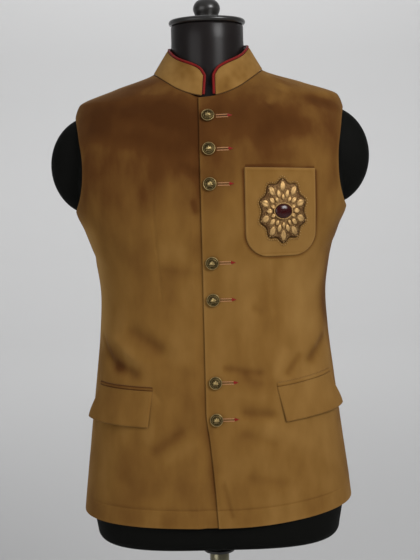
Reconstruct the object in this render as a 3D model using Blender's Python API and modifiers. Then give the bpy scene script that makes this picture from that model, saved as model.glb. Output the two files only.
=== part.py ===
"""A nehru jacket on a limbless dress form: metres, +Z up, the front towards -Y.

A place on the cloth is a turn about the upright axis, 0 at the centre front and 90 degrees
at the wearer's left side, and a height. The skin function gives its point in space.
"""

import math
from collections import namedtuple

import bmesh
import bpy
import numpy as np

# Cloth thicknesses, and the gap left between pieces that touch
WALL = 0.002
COLLAR_WALL = 0.0026
TRIM_WALL = 0.0014
GAP = 0.0003
SEAM_GAP = 0.0006
REST_GAP = 0.0008
LAP_GAP = 0.0010
BUTTON_GAP = 0.00075

# Heights that the cut of the jacket turns on
HEM = 0.545
UNDERARM = 1.040
SHOULDER_TIP = 1.200
NECK_POINT = 1.263

# The neckline seen from above
NECKLINE_HALF = 0.088
NECKLINE_FRONT = 0.080
NECKLINE_BACK = 0.068
NECKLINE_POWER = 1.9

# The armholes, as the degrees that they cut into the front and the back
ARMHOLE_FRONT = 19.4
ARMHOLE_BACK = 14.5
ARMHOLE_SAG = 1.45
ARMHOLE_ROUND = 1.3

# The jacket hangs askew: the wearer's left shoulder is higher, and the hem rises on that side
SHOULDER_SLANT = 0.020
SLANT_HEIGHTS = (1.06, 1.19)
HEM_RISE = 0.015
HEM_RISE_TOP = 0.70
COLLAR_LEAN = 0.0012
BUTTON_LEAN = -0.0050
BUTTON_LEAN_FROM = 0.72

# The front edges
UNDERLAP = 0.014
UNDERLAP_FULL = 0.0185
UNDERLAP_SLOPE = 0.014

# Grid of the panels: columns round, and the rows of each stretch from the hem up
FRONT_COLUMNS = 14
BACK_COLUMNS = 12
SIDE_ROWS = 16
ARMHOLE_ROWS = 9
ARMHOLE_FIRST_ROW = 0.16
CHEST_ROWS = 3
NECKLINE_ROWS = 8
NECKLINE_TURNS = (8, 86)
BACK_NECK_ROWS = 6
BACK_NECK_TURNS = (95, 176)
SEAM_STRIP = 0.012
MOST_CROWDED = 0.85
UNDERLAP_SHARES = (0.0, 0.012, 0.085, 0.16, 0.225)
UNDERLAP_SHARES_END = 0.26

# Buttons, from the top
BUTTON_HEIGHTS = (1.1875, 1.1367, 1.0837, 0.9624, 0.9043, 0.7752, 0.7177)
BUTTON_RADIUS = 0.01025
BUTTON_RISE = 0.0062
BUTTON_STEPS = 14
Shares = namedtuple("Shares", "radius height")
BUTTON_PROFILE = (
    Shares(0.0, 1.0),
    Shares(0.326, 0.967),
    Shares(0.615, 0.868),
    Shares(0.807, 0.719),
    Shares(0.87, 0.55),
    Shares(1.0, 0.42),
    Shares(1.0, 0.22),
    Shares(0.80, 0.0),
    Shares(0.0, 0.0),
)

# Dress form and stand
NECK_HALF = 0.0585
NECK_FRONT = 0.060
NECK_BACK = 0.054
NECK_TOP = 1.3365
FORM_BOTTOM = 0.5005
FORM_EDGE_ROUND = 0.016
FORM_FOOT = (0.2078, 0.1280, 0.1250, 2.9)
FORM_FOOT_TOP = 0.66
FORM_FOOT_TAPER = 0.975
NECK_BLEND = 22
FORM_COLUMNS = 32
FORM_BODY_ROWS = (0.55, 1.19, 11)
FORM_SHOULDER_ROWS = (1.206, 1.290, 12)
NECK_FOOT = 1.310
NECK_EDGE = 0.003
Clearance = namedtuple("Clearance", "height inset")
FORM_CLEARANCE = (
    Clearance(0.500, 0.0120),
    Clearance(0.600, 0.0100),
    Clearance(0.750, 0.0080),
    Clearance(1.180, 0.0090),
    Clearance(1.218, 0.0095),
    Clearance(1.236, 0.0059),
    Clearance(1.258, 0.0050),
    Clearance(1.275, 0.0080),
    Clearance(1.300, 0.0120),
)
ARM_CAP_CENTRE = (0.190, -0.004, 1.1195)
ARM_CAP_SIZE = (0.070, 0.045, 0.0805)
CAP_RADIUS = 0.062
CAP_THICKNESS = 0.009
CAP_EDGE = 0.0044
KNOB_RADIUS = 0.022
KNOB_HEIGHT = 0.044
KNOB_PROFILE = (
    Shares(0.0, 1.0),
    Shares(0.16, 0.985),
    Shares(0.26, 0.90),
    Shares(0.24, 0.82),
    Shares(0.31, 0.78),
    Shares(0.64, 0.706),
    Shares(0.91, 0.569),
    Shares(1.0, 0.40),
    Shares(0.91, 0.231),
    Shares(0.82, 0.0),
    Shares(0.0, 0.0),
)
FLANGE_RADIUS = 0.027
FLANGE_THICKNESS = 0.005
FLANGE_EDGE = 0.0012
FLANGE_HEIGHT = 0.039
SOCKET_RADIUS = 0.0205
POLE_RADIUS = 0.0163
BASE_RADIUS = 0.180
BASE_THICKNESS = 0.014
BASE_EDGE = 0.004

Section = namedtuple("Section", "height half_width front back power")
SECTIONS = (
    Section(0.545, 0.2240, 0.139, 0.136, 2.35),
    Section(0.600, 0.2180, 0.137, 0.132, 2.35),
    Section(0.690, 0.2070, 0.134, 0.127, 2.35),
    Section(0.770, 0.1970, 0.128, 0.118, 2.35),
    Section(0.850, 0.1880, 0.121, 0.106, 2.40),
    Section(0.900, 0.1850, 0.119, 0.102, 2.40),
    Section(0.960, 0.1920, 0.124, 0.107, 2.40),
    Section(1.010, 0.2080, 0.130, 0.115, 2.40),
    Section(1.040, 0.2210, 0.131, 0.119, 2.40),
    Section(1.100, 0.2300, 0.128, 0.122, 2.35),
    Section(1.150, 0.2280, 0.118, 0.121, 2.25),
    Section(1.190, 0.2200, 0.101, 0.115, 2.10),
    Section(1.217, 0.2110, 0.082, 0.106, 1.95),
    Section(1.240, 0.1530, 0.063, 0.091, 1.90),
    Section(1.263, 0.0880, 0.045, 0.073, 1.90),
    Section(1.300, 0.0600, 0.030, 0.050, 1.90),
)

EdgePlace = namedtuple("EdgePlace", "height across")
FRONT_EDGE = (
    EdgePlace(0.545, -0.0005),
    EdgePlace(0.610, -0.0045),
    EdgePlace(0.682, -0.0107),
    EdgePlace(0.730, -0.0160),
    EdgePlace(0.900, -0.0160),
    EdgePlace(1.225, -0.0165),
)

CollarTop = namedtuple("CollarTop", "turn height")
COLLAR_TOP = (
    CollarTop(7.8, 1.2525),
    CollarTop(13, 1.2620),
    CollarTop(24, 1.2695),
    CollarTop(41, 1.2770),
    CollarTop(57, 1.2845),
    CollarTop(72, 1.2930),
    CollarTop(90, 1.2995),
    CollarTop(135, 1.3035),
    CollarTop(180, 1.3060),
)
COLLAR_TOP_HALF = 0.0662
COLLAR_TOP_FRONT = 0.0690
COLLAR_TOP_BACK = 0.0610
COLLAR_END_TURN = 7.8
COLLAR_SEAM_RISE = 0.0012
COLLAR_END_STEPS = (0, 2.5, 5.5, 10, 16)
COLLAR_EVEN_FROM = 31
COLLAR_COLUMNS = 27
COLLAR_ROWS = 4
PIPING_RADIUS = 0.0021
PIPING_CLEAR = 0.0004
PIPING_RISE = (0.04, 0.97, 6)
PIPING_END_STEPS = (0.3, 2, 4, 7, 11)
PIPING_EVEN_FROM = 24
PIPING_COLUMNS = 17

# The largest folds: a trough from one place to another, negative depths being ridges
Fold = namedtuple("Fold", "turn height to_turn to_height width depth")
FOLDS = (
    Fold(-79, 0.825, -55, 0.790, 0.013, 0.0032),
    Fold(-66, 0.841, -46, 0.806, 0.012, -0.0022),
    Fold(-53, 0.858, -34, 0.818, 0.014, 0.0026),
    Fold(-19, 0.709, -41, 0.667, 0.015, 0.0024),
    Fold(-46, 0.666, -53, 0.612, 0.015, 0.0020),
    Fold(77, 0.833, 54, 0.793, 0.013, 0.0030),
    Fold(62, 0.824, 48, 0.776, 0.013, -0.0020),
    Fold(16, 0.795, 31, 0.786, 0.012, 0.0016),
    Fold(19, 0.727, 35, 0.717, 0.012, 0.0020),
    Fold(72, 1.240, 45, 1.195, 0.012, -0.0018),
    Fold(108, 0.850, 134, 0.812, 0.014, 0.0030),
    Fold(250, 0.862, 222, 0.818, 0.014, 0.0032),
    Fold(152, 0.842, 170, 0.826, 0.013, 0.0022),
    Fold(205, 0.832, 189, 0.812, 0.013, 0.0020),
    Fold(120, 1.130, 136, 1.060, 0.016, 0.0024),
    Fold(238, 1.125, 223, 1.048, 0.016, 0.0022),
    Fold(140, 0.640, 148, 0.560, 0.018, 0.0024),
    Fold(213, 0.660, 207, 0.565, 0.018, 0.0022),
)
FOLD_TURN_RADIUS = 0.165

# Chest pocket, as seen from the front
POCKET_LEFT = 0.0525
POCKET_RIGHT = 0.1605
POCKET_BOTTOM = 0.9712
POCKET_TOP = 1.1065
POCKET_TOP_FALL = 0.0045
POCKET_CORNER = 0.035
POCKET_COLUMNS = 10
POCKET_CORNER_ROWS = (0, 0.012, 0.04, 0.09, 0.16)
POCKET_EVEN_ROWS = (0.25, 1, 8)
POCKET_GAP = 0.0007

# Ornament on the pocket: an upright oval with a lobed rim
BADGE_X = 0.1085
BADGE_HEIGHT = 1.0400
BADGE_HALF_WIDTH = 0.037
BADGE_HALF_HEIGHT = 0.049
BADGE_LOBES = 10
BADGE_LOBE_DEPTH = 0.10
BADGE_LOBE_FADE = 3
BADGE_WALL = 0.0016
STONE_HALF_WIDTH = 0.0125
STONE_HALF_HEIGHT = 0.0105
STONE_RISE = 0.0042

# Hip flaps, in degrees of turn and metres; tilt is how much higher the outer end is
Flap = namedtuple("Flap", "name side inner outer top tilt drop inner_shift outer_shift flare")
FLAPS = (
    Flap("left", 1, 39.5, 73.5, 0.7645, 0.0105, 0.0545, 3.3, 5.0, 0.0085),
    Flap("right", -1, 40.6, 73.5, 0.7620, 0.0010, 0.0560, 1.5, 5.5, 0.0080),
)
FLAP_COLUMNS = 9
FLAP_ROWS = 6
FLAP_GAP = 0.0006
FLAP_INNER_LIFT = 0.3
JET_HEIGHT = 0.005
JET_WALL = 0.0010

Finish = namedtuple("Finish", "colour roughness metallic")
VELVET = Finish((0.22, 0.115, 0.035), 0.9, 0.0)
RED_CORD = Finish((0.30, 0.012, 0.010), 0.6, 0.0)
ANTIQUE_BRASS = Finish((0.33, 0.25, 0.11), 0.38, 1.0)
GOLD_THREAD = Finish((0.48, 0.30, 0.10), 0.45, 0.6)
DARK_STONE = Finish((0.045, 0.004, 0.006), 0.12, 0.0)
FORM_CLOTH = Finish((0.022, 0.020, 0.020), 0.85, 0.0)
BLACK_LACQUER = Finish((0.010, 0.010, 0.009), 0.35, 0.0)
POLE_METAL = Finish((0.42, 0.38, 0.26), 0.30, 1.0)
BASE_PAINT = Finish((0.015, 0.015, 0.015), 0.45, 0.0)


def smooth_slopes(places, values):
    """Slopes of a curve through the values that never overshoots them."""
    steps = np.diff(places)
    rises = np.diff(values) / steps
    slopes = np.concatenate([[rises[0]], np.zeros(len(rises) - 1), [rises[-1]]])
    for i in range(1, len(rises)):
        if rises[i - 1] * rises[i] > 0:
            before, after = 2 * steps[i] + steps[i - 1], steps[i] + 2 * steps[i - 1]
            slopes[i] = (before + after) / (before / rises[i - 1] + after / rises[i])
    return slopes


def smooth_between(places, values, at):
    """The value at a place, on a smooth curve through a table's rows."""
    places, values = np.asarray(places, float), np.asarray(values, float)
    slopes = smooth_slopes(places, values)
    at = np.clip(at, places[0], places[-1])
    i = np.clip(np.searchsorted(places, at) - 1, 0, len(places) - 2)
    span = places[i + 1] - places[i]
    t = (at - places[i]) / span
    start = values[i] * (1 + 2 * t) * (1 - t) ** 2 + slopes[i] * span * t * (1 - t) ** 2
    return start + values[i + 1] * t * t * (3 - 2 * t) + slopes[i + 1] * span * t * t * (t - 1)


def ease(share):
    share = np.clip(share, 0.0, 1.0)
    return share * share * (3 - 2 * share)


def oval_radius(turn, half_width, front, back, power):
    """Distance from the axis to a rounded oval, at a turn."""
    across, along = np.sin(turn), np.cos(turn)
    depth = np.where(along > 0, front, back)
    return ((np.abs(across) / half_width) ** power + (np.abs(along) / depth) ** power) ** (-1 / power)


def section_at(height):
    columns = np.array(SECTIONS).T
    return [smooth_between(columns[0], column, height) for column in columns[1:]]


def skin_radius(turn, height):
    return oval_radius(turn, *section_at(height))


def place(turn, height, radius):
    return np.stack([radius * np.sin(turn), -radius * np.cos(turn), height + 0 * turn], -1)


def shoulder_slant(across, height):
    low, high = SLANT_HEIGHTS
    return SHOULDER_SLANT * across * ease((height - low) / (high - low))


def skin(turn, height):
    points = place(turn, height, skin_radius(turn, height))
    points[..., 2] += shoulder_slant(points[..., 0], height)
    return points


def outward(turn, height):
    """Unit normals of the skin."""
    step = 0.0005
    round_it = skin(turn + step, height) - skin(turn - step, height)
    up_it = skin(turn, height + step) - skin(turn, height - step)
    normal = np.cross(round_it, up_it)
    return normal / np.linalg.norm(normal, axis=-1, keepdims=True)


def fold_depth(turn, height):
    """How far the folds sink the cloth below the plain skin."""
    total = 0 * turn
    for fold in FOLDS:
        start = np.array([math.radians(fold.turn) * FOLD_TURN_RADIUS, fold.height])
        end = np.array([math.radians(fold.to_turn) * FOLD_TURN_RADIUS, fold.to_height])
        turned = np.radians(fold.turn) + (turn - np.radians(fold.turn) + np.pi) % (2 * np.pi) - np.pi
        here = np.stack([turned * FOLD_TURN_RADIUS, height + 0 * turn], -1) - start
        run = end - start
        share = np.clip(here @ run / (run @ run), 0, 1)
        away = np.linalg.norm(here - share[..., None] * run, axis=-1)
        total = total + fold.depth * np.exp(-((away / fold.width) ** 2))
    return total


def hem_rise(turn, height):
    """How far the cloth is drawn up, most at the hem on the wearer's left."""
    low = ease((HEM_RISE_TOP - height) / (HEM_RISE_TOP - HEM))
    return HEM_RISE * np.clip(np.sin(turn), 0, 1) ** 3 * low


def cloth(turn, height, out=0.0):
    """Points on the jacket's outside, or that far out from it."""
    turn, height = np.broadcast_arrays(np.asarray(turn, float), np.asarray(height, float))
    lift = np.asarray(out) - fold_depth(turn, height)
    points = skin(turn, height) + outward(turn, height) * lift[..., None]
    points[..., 2] += hem_rise(turn, height)
    return points


def front_turn(across, height):
    """Turn of the front place that lies that far across."""
    half_width, front, _, power = section_at(height)
    depth = front * np.clip(1 - np.abs(across / half_width) ** power, 0, 1) ** (1 / power)
    return np.arctan2(across, depth)


def neckline_height(turn):
    """Height at which the skin passes over the neckline's plan."""
    radius = oval_radius(turn, NECKLINE_HALF, NECKLINE_FRONT, NECKLINE_BACK, NECKLINE_POWER)
    low, high = UNDERARM + 0 * turn, SECTIONS[-1].height + 0 * turn
    for _ in range(30):
        middle = (low + high) / 2
        outside = skin_radius(turn, middle) > radius
        low, high = np.where(outside, middle, low), np.where(outside, high, middle)
    return (low + high) / 2


def edge_across(height):
    return smooth_between(*zip(*FRONT_EDGE), height)


def seam_line(turn, height, way):
    """A seam's turn, moved off it by half the seam's gap."""
    return turn + way * SEAM_GAP / 2 / skin_radius(turn, height)


def between(start, end, share):
    return start + (end - start) * share


def neckline_turn(height, first, last):
    """Turn at which the neckline passes a height, between two turns where it climbs."""
    turns = np.linspace(first, last, 91)
    return np.interp(height, neckline_height(turns), turns)


def armhole_climb(share):
    """Height on the armhole, from the underarm at 0 to the shoulder tip at 1."""
    return between(UNDERARM, SHOULDER_TIP, ((1 - np.cos(np.pi * share)) / 2) ** ARMHOLE_SAG)


def armhole_cut(height, reach):
    """How far the armhole cuts into a panel at a height, as a turn."""
    rise = np.clip((height - UNDERARM) / (SHOULDER_TIP - UNDERARM), 0, 1)
    share = np.arccos(1 - 2 * rise ** (1 / ARMHOLE_SAG)) / np.pi
    return np.radians(reach) * np.clip(np.sin(np.pi * share), 0, 1) ** ARMHOLE_ROUND


def turns_between(start, end, cut_start, cut_end, share):
    """Turns from start + cut_start to end - cut_end; each cut moves the nearest columns most."""
    span = end - start
    crowd = np.clip(MOST_CROWDED * span / np.maximum(cut_start, 1e-6), 1, 3)
    return between(start, end, share) + cut_start * (1 - share) ** crowd - cut_end * share**3


def front_turns(across, height, edge):
    """Turns on the half front whose centre edge lies at edge(height), above its neckline too."""
    centre = front_turn(edge(height), height)
    neck = np.where(height > neckline_height(np.array(0.0)), neckline_turn(height, 0, np.pi / 2), centre)
    side = seam_line(np.pi / 2, height, -1)
    return turns_between(centre, side, neck - centre, armhole_cut(height, ARMHOLE_FRONT), across)


def back_turns(across, height):
    """Turns on the wearer's left half of the back, from the side to the centre seam."""
    side = seam_line(np.pi / 2, height, 1)
    neck = np.where(height > NECK_POINT, neckline_turn(height, np.pi / 2, np.pi), side)
    centre = seam_line(np.pi, height, -1)
    return turns_between(side, centre, neck - side + armhole_cut(height, ARMHOLE_BACK), 0, across)


def row_heights(back):
    """Heights of the rows, which end where the armhole and the neckline need a point."""
    side = np.linspace(HEM, UNDERARM, SIDE_ROWS + 1)
    armhole = armhole_climb(np.linspace(ARMHOLE_FIRST_ROW, 1, ARMHOLE_ROWS))
    chest = np.linspace(SHOULDER_TIP, neckline_height(np.array(0.0)), CHEST_ROWS + 1)[1:]
    neckline = neckline_height(np.radians(np.linspace(*NECKLINE_TURNS, NECKLINE_ROWS)))
    rows = np.concatenate([side, armhole, chest, neckline])
    if not back:
        return rows
    return np.append(rows, neckline_height(np.radians(np.linspace(*BACK_NECK_TURNS, BACK_NECK_ROWS))))


def overlap_sink(turn, height):
    """How far the right front's edge lies in, to pass under the left front."""
    across = skin(turn, height)[..., 0]
    return (WALL + LAP_GAP) * ease((across + UNDERLAP_FULL + UNDERLAP_SLOPE) / UNDERLAP_SLOPE)


def shares(count):
    """Even shares from 0 to 1, with a narrow strip along each end."""
    return np.concatenate([[0.0], np.linspace(SEAM_STRIP, 1 - SEAM_STRIP, count - 1), [1.0]])


def underlap_shares():
    """Columns of the right front, closer where its edge slopes in under the left front."""
    even = shares(FRONT_COLUMNS)
    return np.concatenate([UNDERLAP_SHARES, even[even > UNDERLAP_SHARES_END]])


def material(name, finish):
    made = bpy.data.materials.get(name)
    if made:
        return made
    made = bpy.data.materials.new(name)
    made.use_nodes = True
    shader = made.node_tree.nodes["Principled BSDF"]
    shader.inputs["Base Color"].default_value = (*finish.colour, 1)
    shader.inputs["Roughness"].default_value = finish.roughness
    shader.inputs["Metallic"].default_value = finish.metallic
    return made


def add_object(name, mesh, finish_name, finish, collection):
    piece = bpy.data.objects.new(name, mesh)
    mesh.materials.append(material(finish_name, finish))
    mesh.shade_smooth()
    collection.objects.link(piece)
    return piece


def grid_mesh(name, across, up, surface, turned=False):
    """A grid with a vertex for each pair of shares, laid on surface(across, up)."""
    bm = bmesh.new()
    bmesh.ops.create_grid(bm, x_segments=len(across) - 1, y_segments=len(up) - 1, size=1)
    columns = [round((v.co.x + 1) / 2 * (len(across) - 1)) for v in bm.verts]
    rows = [round((v.co.y + 1) / 2 * (len(up) - 1)) for v in bm.verts]
    for vert, point in zip(bm.verts, surface(np.array(across)[columns], np.array(up)[rows])):
        vert.co = point
    if turned:
        bmesh.ops.reverse_faces(bm, faces=bm.faces)
    mesh = bpy.data.meshes.new(name)
    bm.to_mesh(mesh)
    bm.free()
    return mesh


def add_wall(piece, thickness, outwards=False):
    wall = piece.modifiers.new("Wall", "SOLIDIFY")
    wall.thickness = thickness
    wall.offset = 1 if outwards else -1


def add_turned(name, mesh, steps, collection):
    """Turns a profile, which runs down its outer side from top to bottom, about its own Z."""
    piece = bpy.data.objects.new(name, mesh)
    collection.objects.link(piece)
    turn = piece.modifiers.new("Turn", "SCREW")
    turn.steps = steps
    turn.render_steps = steps
    turn.use_merge_vertices = True
    turn.merge_threshold = 0.00002
    turn.use_smooth_shade = True
    return piece


def profile_mesh(name, profile, finish_name, finish):
    mesh = bpy.data.meshes.new(name)
    points = [(radius, 0, height) for radius, height in profile]
    mesh.from_pydata(points, [(i, i + 1) for i in range(len(points) - 1)], [])
    mesh.materials.append(material(finish_name, finish))
    return mesh


def add_fronts(collection):
    def left_surface(across, height):
        return cloth(front_turns(across, height, edge_across), height)

    def right_surface(across, height):
        turn = -front_turns(across, height, lambda height: -UNDERLAP + 0 * height)
        return cloth(turn, height, -overlap_sink(turn, height))

    rows = row_heights(back=False)
    mesh = grid_mesh("front_left", shares(FRONT_COLUMNS), rows, left_surface)
    add_wall(add_object("front_left", mesh, "velvet", VELVET, collection), WALL)
    mesh = grid_mesh("front_right", underlap_shares(), rows, right_surface, turned=True)
    add_wall(add_object("front_right", mesh, "velvet", VELVET, collection), WALL)


def add_backs(collection):
    for name, side in (("back_left", 1), ("back_right", -1)):

        def surface(across, height):
            return cloth(side * back_turns(across, height), height)

        mesh = grid_mesh(name, shares(BACK_COLUMNS), row_heights(back=True), surface, turned=side < 0)
        add_wall(add_object(name, mesh, "velvet", VELVET, collection), WALL)


def collar_points(turn, up, inward=0.0):
    """The band's outside, from its seam at up 0 to its top edge at up 1."""
    base = cloth(turn, neckline_height(turn))
    base[..., 2] += COLLAR_SEAM_RISE
    from_front = np.degrees(np.abs((turn + np.pi) % (2 * np.pi) - np.pi))
    top_height = smooth_between(*zip(*COLLAR_TOP), from_front)
    top_radius = oval_radius(turn, COLLAR_TOP_HALF, COLLAR_TOP_FRONT, COLLAR_TOP_BACK, 2)
    top = place(turn, top_height, top_radius)
    top[..., 2] += SHOULDER_SLANT * top[..., 0]
    top[..., 0] += COLLAR_LEAN
    way = top - base
    round_it = np.stack([np.cos(turn), np.sin(turn), 0 * turn], -1)
    normal = np.cross(round_it, way)
    normal /= np.linalg.norm(normal, axis=-1, keepdims=True)
    return base + way * np.asarray(up)[..., None] - normal * inward


def add_collar(collection):
    near = COLLAR_END_TURN + np.array(COLLAR_END_STEPS)
    even = np.linspace(COLLAR_EVEN_FROM, 360 - COLLAR_EVEN_FROM, COLLAR_COLUMNS)
    turns = np.radians(np.concatenate([near, even, 360 - near[::-1]]))
    mesh = grid_mesh("collar", turns, np.linspace(0, 1, COLLAR_ROWS + 1), collar_points)
    add_wall(add_object("collar", mesh, "velvet", VELVET, collection), COLLAR_WALL)


def piping_path():
    """The cord's centre line: up one end of the band, along its top and down the other end."""
    rising = np.linspace(*PIPING_RISE)
    near = COLLAR_END_TURN + np.array(PIPING_END_STEPS)
    even = np.linspace(PIPING_EVEN_FROM, 180, PIPING_COLUMNS)
    half = np.concatenate([np.full(len(rising), COLLAR_END_TURN), near, even])
    turns = np.radians(np.concatenate([half, 360 - half[-2::-1]]))
    ups = np.concatenate([rising, np.ones(2 * len(half) - 1 - 2 * len(rising)), rising[::-1]])
    middle = collar_points(turns, ups, COLLAR_WALL / 2)
    inwards = collar_points(turns, ups, COLLAR_WALL) - middle
    step = 1e-4
    climbing = collar_points(turns, ups + step) - collar_points(turns, ups - step)
    along_top = collar_points(turns + step, ups) - collar_points(turns - step, ups)
    falling = (ups < 1) & (turns > np.pi)
    onward = np.where((ups < 1)[:, None], climbing, along_top)
    onward[falling] *= -1
    away = np.cross(onward, inwards)
    away /= np.linalg.norm(away, axis=-1, keepdims=True)
    return middle + away * (PIPING_RADIUS + PIPING_CLEAR)


def add_piping(collection):
    curve = bpy.data.curves.new("collar_piping", "CURVE")
    curve.dimensions = "3D"
    curve.bevel_depth = PIPING_RADIUS
    curve.bevel_resolution = 2
    curve.use_fill_caps = True
    path = piping_path()
    spline = curve.splines.new("POLY")
    spline.points.add(len(path) - 1)
    for point, spot in zip(spline.points, path):
        point.co = (*spot, 1)
    curve.materials.append(material("red_cord", RED_CORD))
    collection.objects.link(bpy.data.objects.new("collar_piping", curve))


def pocket_points(across, up, out):
    """A place on the pocket: across from its inner edge, up from its round bottom."""
    top = POCKET_TOP - POCKET_TOP_FALL * across
    height = between(POCKET_BOTTOM, top, up)
    corner = np.clip(1 - (height - POCKET_BOTTOM) / POCKET_CORNER, 0, 1)
    narrowed = POCKET_CORNER * (1 - np.sqrt(np.clip(1 - corner**2, 0, 1)))
    x = between(POCKET_LEFT + narrowed, POCKET_RIGHT - narrowed, across)
    return cloth(front_turn(x, height), height, out)


def add_chest_pocket(collection):
    up = np.concatenate([POCKET_CORNER_ROWS, np.linspace(*POCKET_EVEN_ROWS)])
    across = np.linspace(0, 1, POCKET_COLUMNS + 1)
    mesh = grid_mesh("chest_pocket", across, up, lambda a, u: pocket_points(a, u, POCKET_GAP))
    add_wall(add_object("chest_pocket", mesh, "velvet", VELVET, collection), TRIM_WALL, outwards=True)


def on_chest(x, height, out):
    return cloth(front_turn(x, height), height, out)


def add_badge(collection):
    """A lobed oval lying on the pocket, and the stone at its centre."""
    under = POCKET_GAP + TRIM_WALL + POCKET_GAP
    bm = bmesh.new()
    bmesh.ops.create_uvsphere(bm, u_segments=40, v_segments=6, radius=1)
    for vert in bm.verts:
        flat = math.hypot(vert.co.x, vert.co.y)
        angle = math.atan2(vert.co.y, vert.co.x)
        reach = 1 + BADGE_LOBE_DEPTH * math.cos(BADGE_LOBES * angle) * flat**BADGE_LOBE_FADE
        x = BADGE_X + BADGE_HALF_WIDTH * flat * reach * math.cos(angle)
        height = BADGE_HEIGHT + BADGE_HALF_HEIGHT * flat * reach * math.sin(angle)
        out = under + BADGE_WALL * (1 + vert.co.z) / 2
        vert.co = on_chest(np.array(x), np.array(height), out)
    mesh = bpy.data.meshes.new("badge")
    bm.to_mesh(mesh)
    bm.free()
    add_object("badge", mesh, "gold_thread", GOLD_THREAD, collection)
    bm = bmesh.new()
    bmesh.ops.create_uvsphere(bm, u_segments=16, v_segments=8, radius=1)
    seat = under + BADGE_WALL + REST_GAP
    for vert in bm.verts:
        x = BADGE_X + STONE_HALF_WIDTH * vert.co.x
        height = BADGE_HEIGHT + STONE_HALF_HEIGHT * vert.co.y
        out = seat + STONE_RISE * (1 + vert.co.z) / 2
        vert.co = on_chest(np.array(x), np.array(height), out)
    mesh = bpy.data.meshes.new("badge_stone")
    bm.to_mesh(mesh)
    bm.free()
    add_object("badge_stone", mesh, "dark_stone", DARK_STONE, collection)


def flap_top(flap, across):
    turn = np.radians(between(flap.inner, flap.outer, across))
    return turn, flap.top + flap.tilt * across


def flap_points(flap, across, down):
    turn, top = flap_top(flap, across)
    turn = turn + np.radians(between(flap.inner_shift, flap.outer_shift, across)) * down
    lift = FLAP_GAP + flap.flare * ease(down) * between(FLAP_INNER_LIFT, 1, ease(across))
    return cloth(flap.side * turn, top - flap.drop * down, lift)


def add_flaps(collection):
    for flap in FLAPS:
        across, down = np.linspace(0, 1, FLAP_COLUMNS + 1), np.linspace(0, 1, FLAP_ROWS + 1)
        name = "hip_flap_" + flap.name
        mesh = grid_mesh(name, across, down, lambda a, d: flap_points(flap, a, d), turned=flap.side > 0)
        add_wall(add_object(name, mesh, "velvet", VELVET, collection), TRIM_WALL, outwards=True)

        def jet_points(a, up):
            turn, top = flap_top(flap, a)
            return cloth(flap.side * turn, top + GAP + JET_HEIGHT * up + GAP, FLAP_GAP)

        name = "hip_jet_" + flap.name
        mesh = grid_mesh(name, across, np.array([0.0, 1.0]), jet_points, turned=flap.side < 0)
        add_wall(add_object(name, mesh, "velvet", VELVET, collection), JET_WALL, outwards=True)


def add_buttons(collection):
    profile = [(BUTTON_RADIUS * point.radius, BUTTON_RISE * point.height) for point in BUTTON_PROFILE]
    mesh = profile_mesh("button", profile, "antique_brass", ANTIQUE_BRASS)
    for number, height in enumerate(BUTTON_HEIGHTS, 1):
        button = add_turned(f"button_{number}", mesh, BUTTON_STEPS, collection)
        turn = front_turn(BUTTON_LEAN * (height - BUTTON_LEAN_FROM), np.array(height))
        normal = outward(turn, np.array(height))
        button.location = cloth(turn, height, BUTTON_GAP)
        button.rotation_euler = (math.atan2(-normal[1], normal[2]), 0, 0)


def form_clearance(height):
    """Distance from the jacket's outside in to the dress form, closest along the shoulders."""
    return smooth_between(*zip(*FORM_CLEARANCE), height)


def form_points(turn, height):
    """The skin moved in by the clearance, and no nearer the axis than the neck's round."""
    inner = skin(turn, height) - outward(turn, height) * form_clearance(height)[..., None]
    radius = np.hypot(inner[..., 0], inner[..., 1])
    neck = oval_radius(turn, NECK_HALF, NECK_FRONT, NECK_BACK, 2)
    blended = (radius**NECK_BLEND + neck**NECK_BLEND) ** (1 / NECK_BLEND)
    low = ease((FORM_FOOT_TOP - height) / (FORM_FOOT_TOP - HEM))
    return place(turn, inner[..., 2], between(blended, oval_radius(turn, *FORM_FOOT), low))


def form_rings(turn):
    """Points of each ring of the form, from the edge of its bottom to its neck's top."""
    rings = []
    radius = oval_radius(turn, *FORM_FOOT) * FORM_FOOT_TAPER
    for a in np.radians([10, 35, 60, 90]):
        height = FORM_BOTTOM + FORM_EDGE_ROUND * (1 - math.cos(a))
        rings.append(place(turn, height, radius - FORM_EDGE_ROUND * (1 - math.sin(a))))
    for height in np.concatenate([np.linspace(*FORM_BODY_ROWS), np.linspace(*FORM_SHOULDER_ROWS)]):
        rings.append(form_points(turn, height + 0 * turn))
    neck = oval_radius(turn, NECK_HALF, NECK_FRONT, NECK_BACK, 2)
    for height, inset in ((NECK_FOOT, 0.0), (NECK_TOP - NECK_EDGE, 0.0), (NECK_TOP, NECK_EDGE)):
        rings.append(place(turn, height, neck - inset))
    return np.array(rings)


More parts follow.
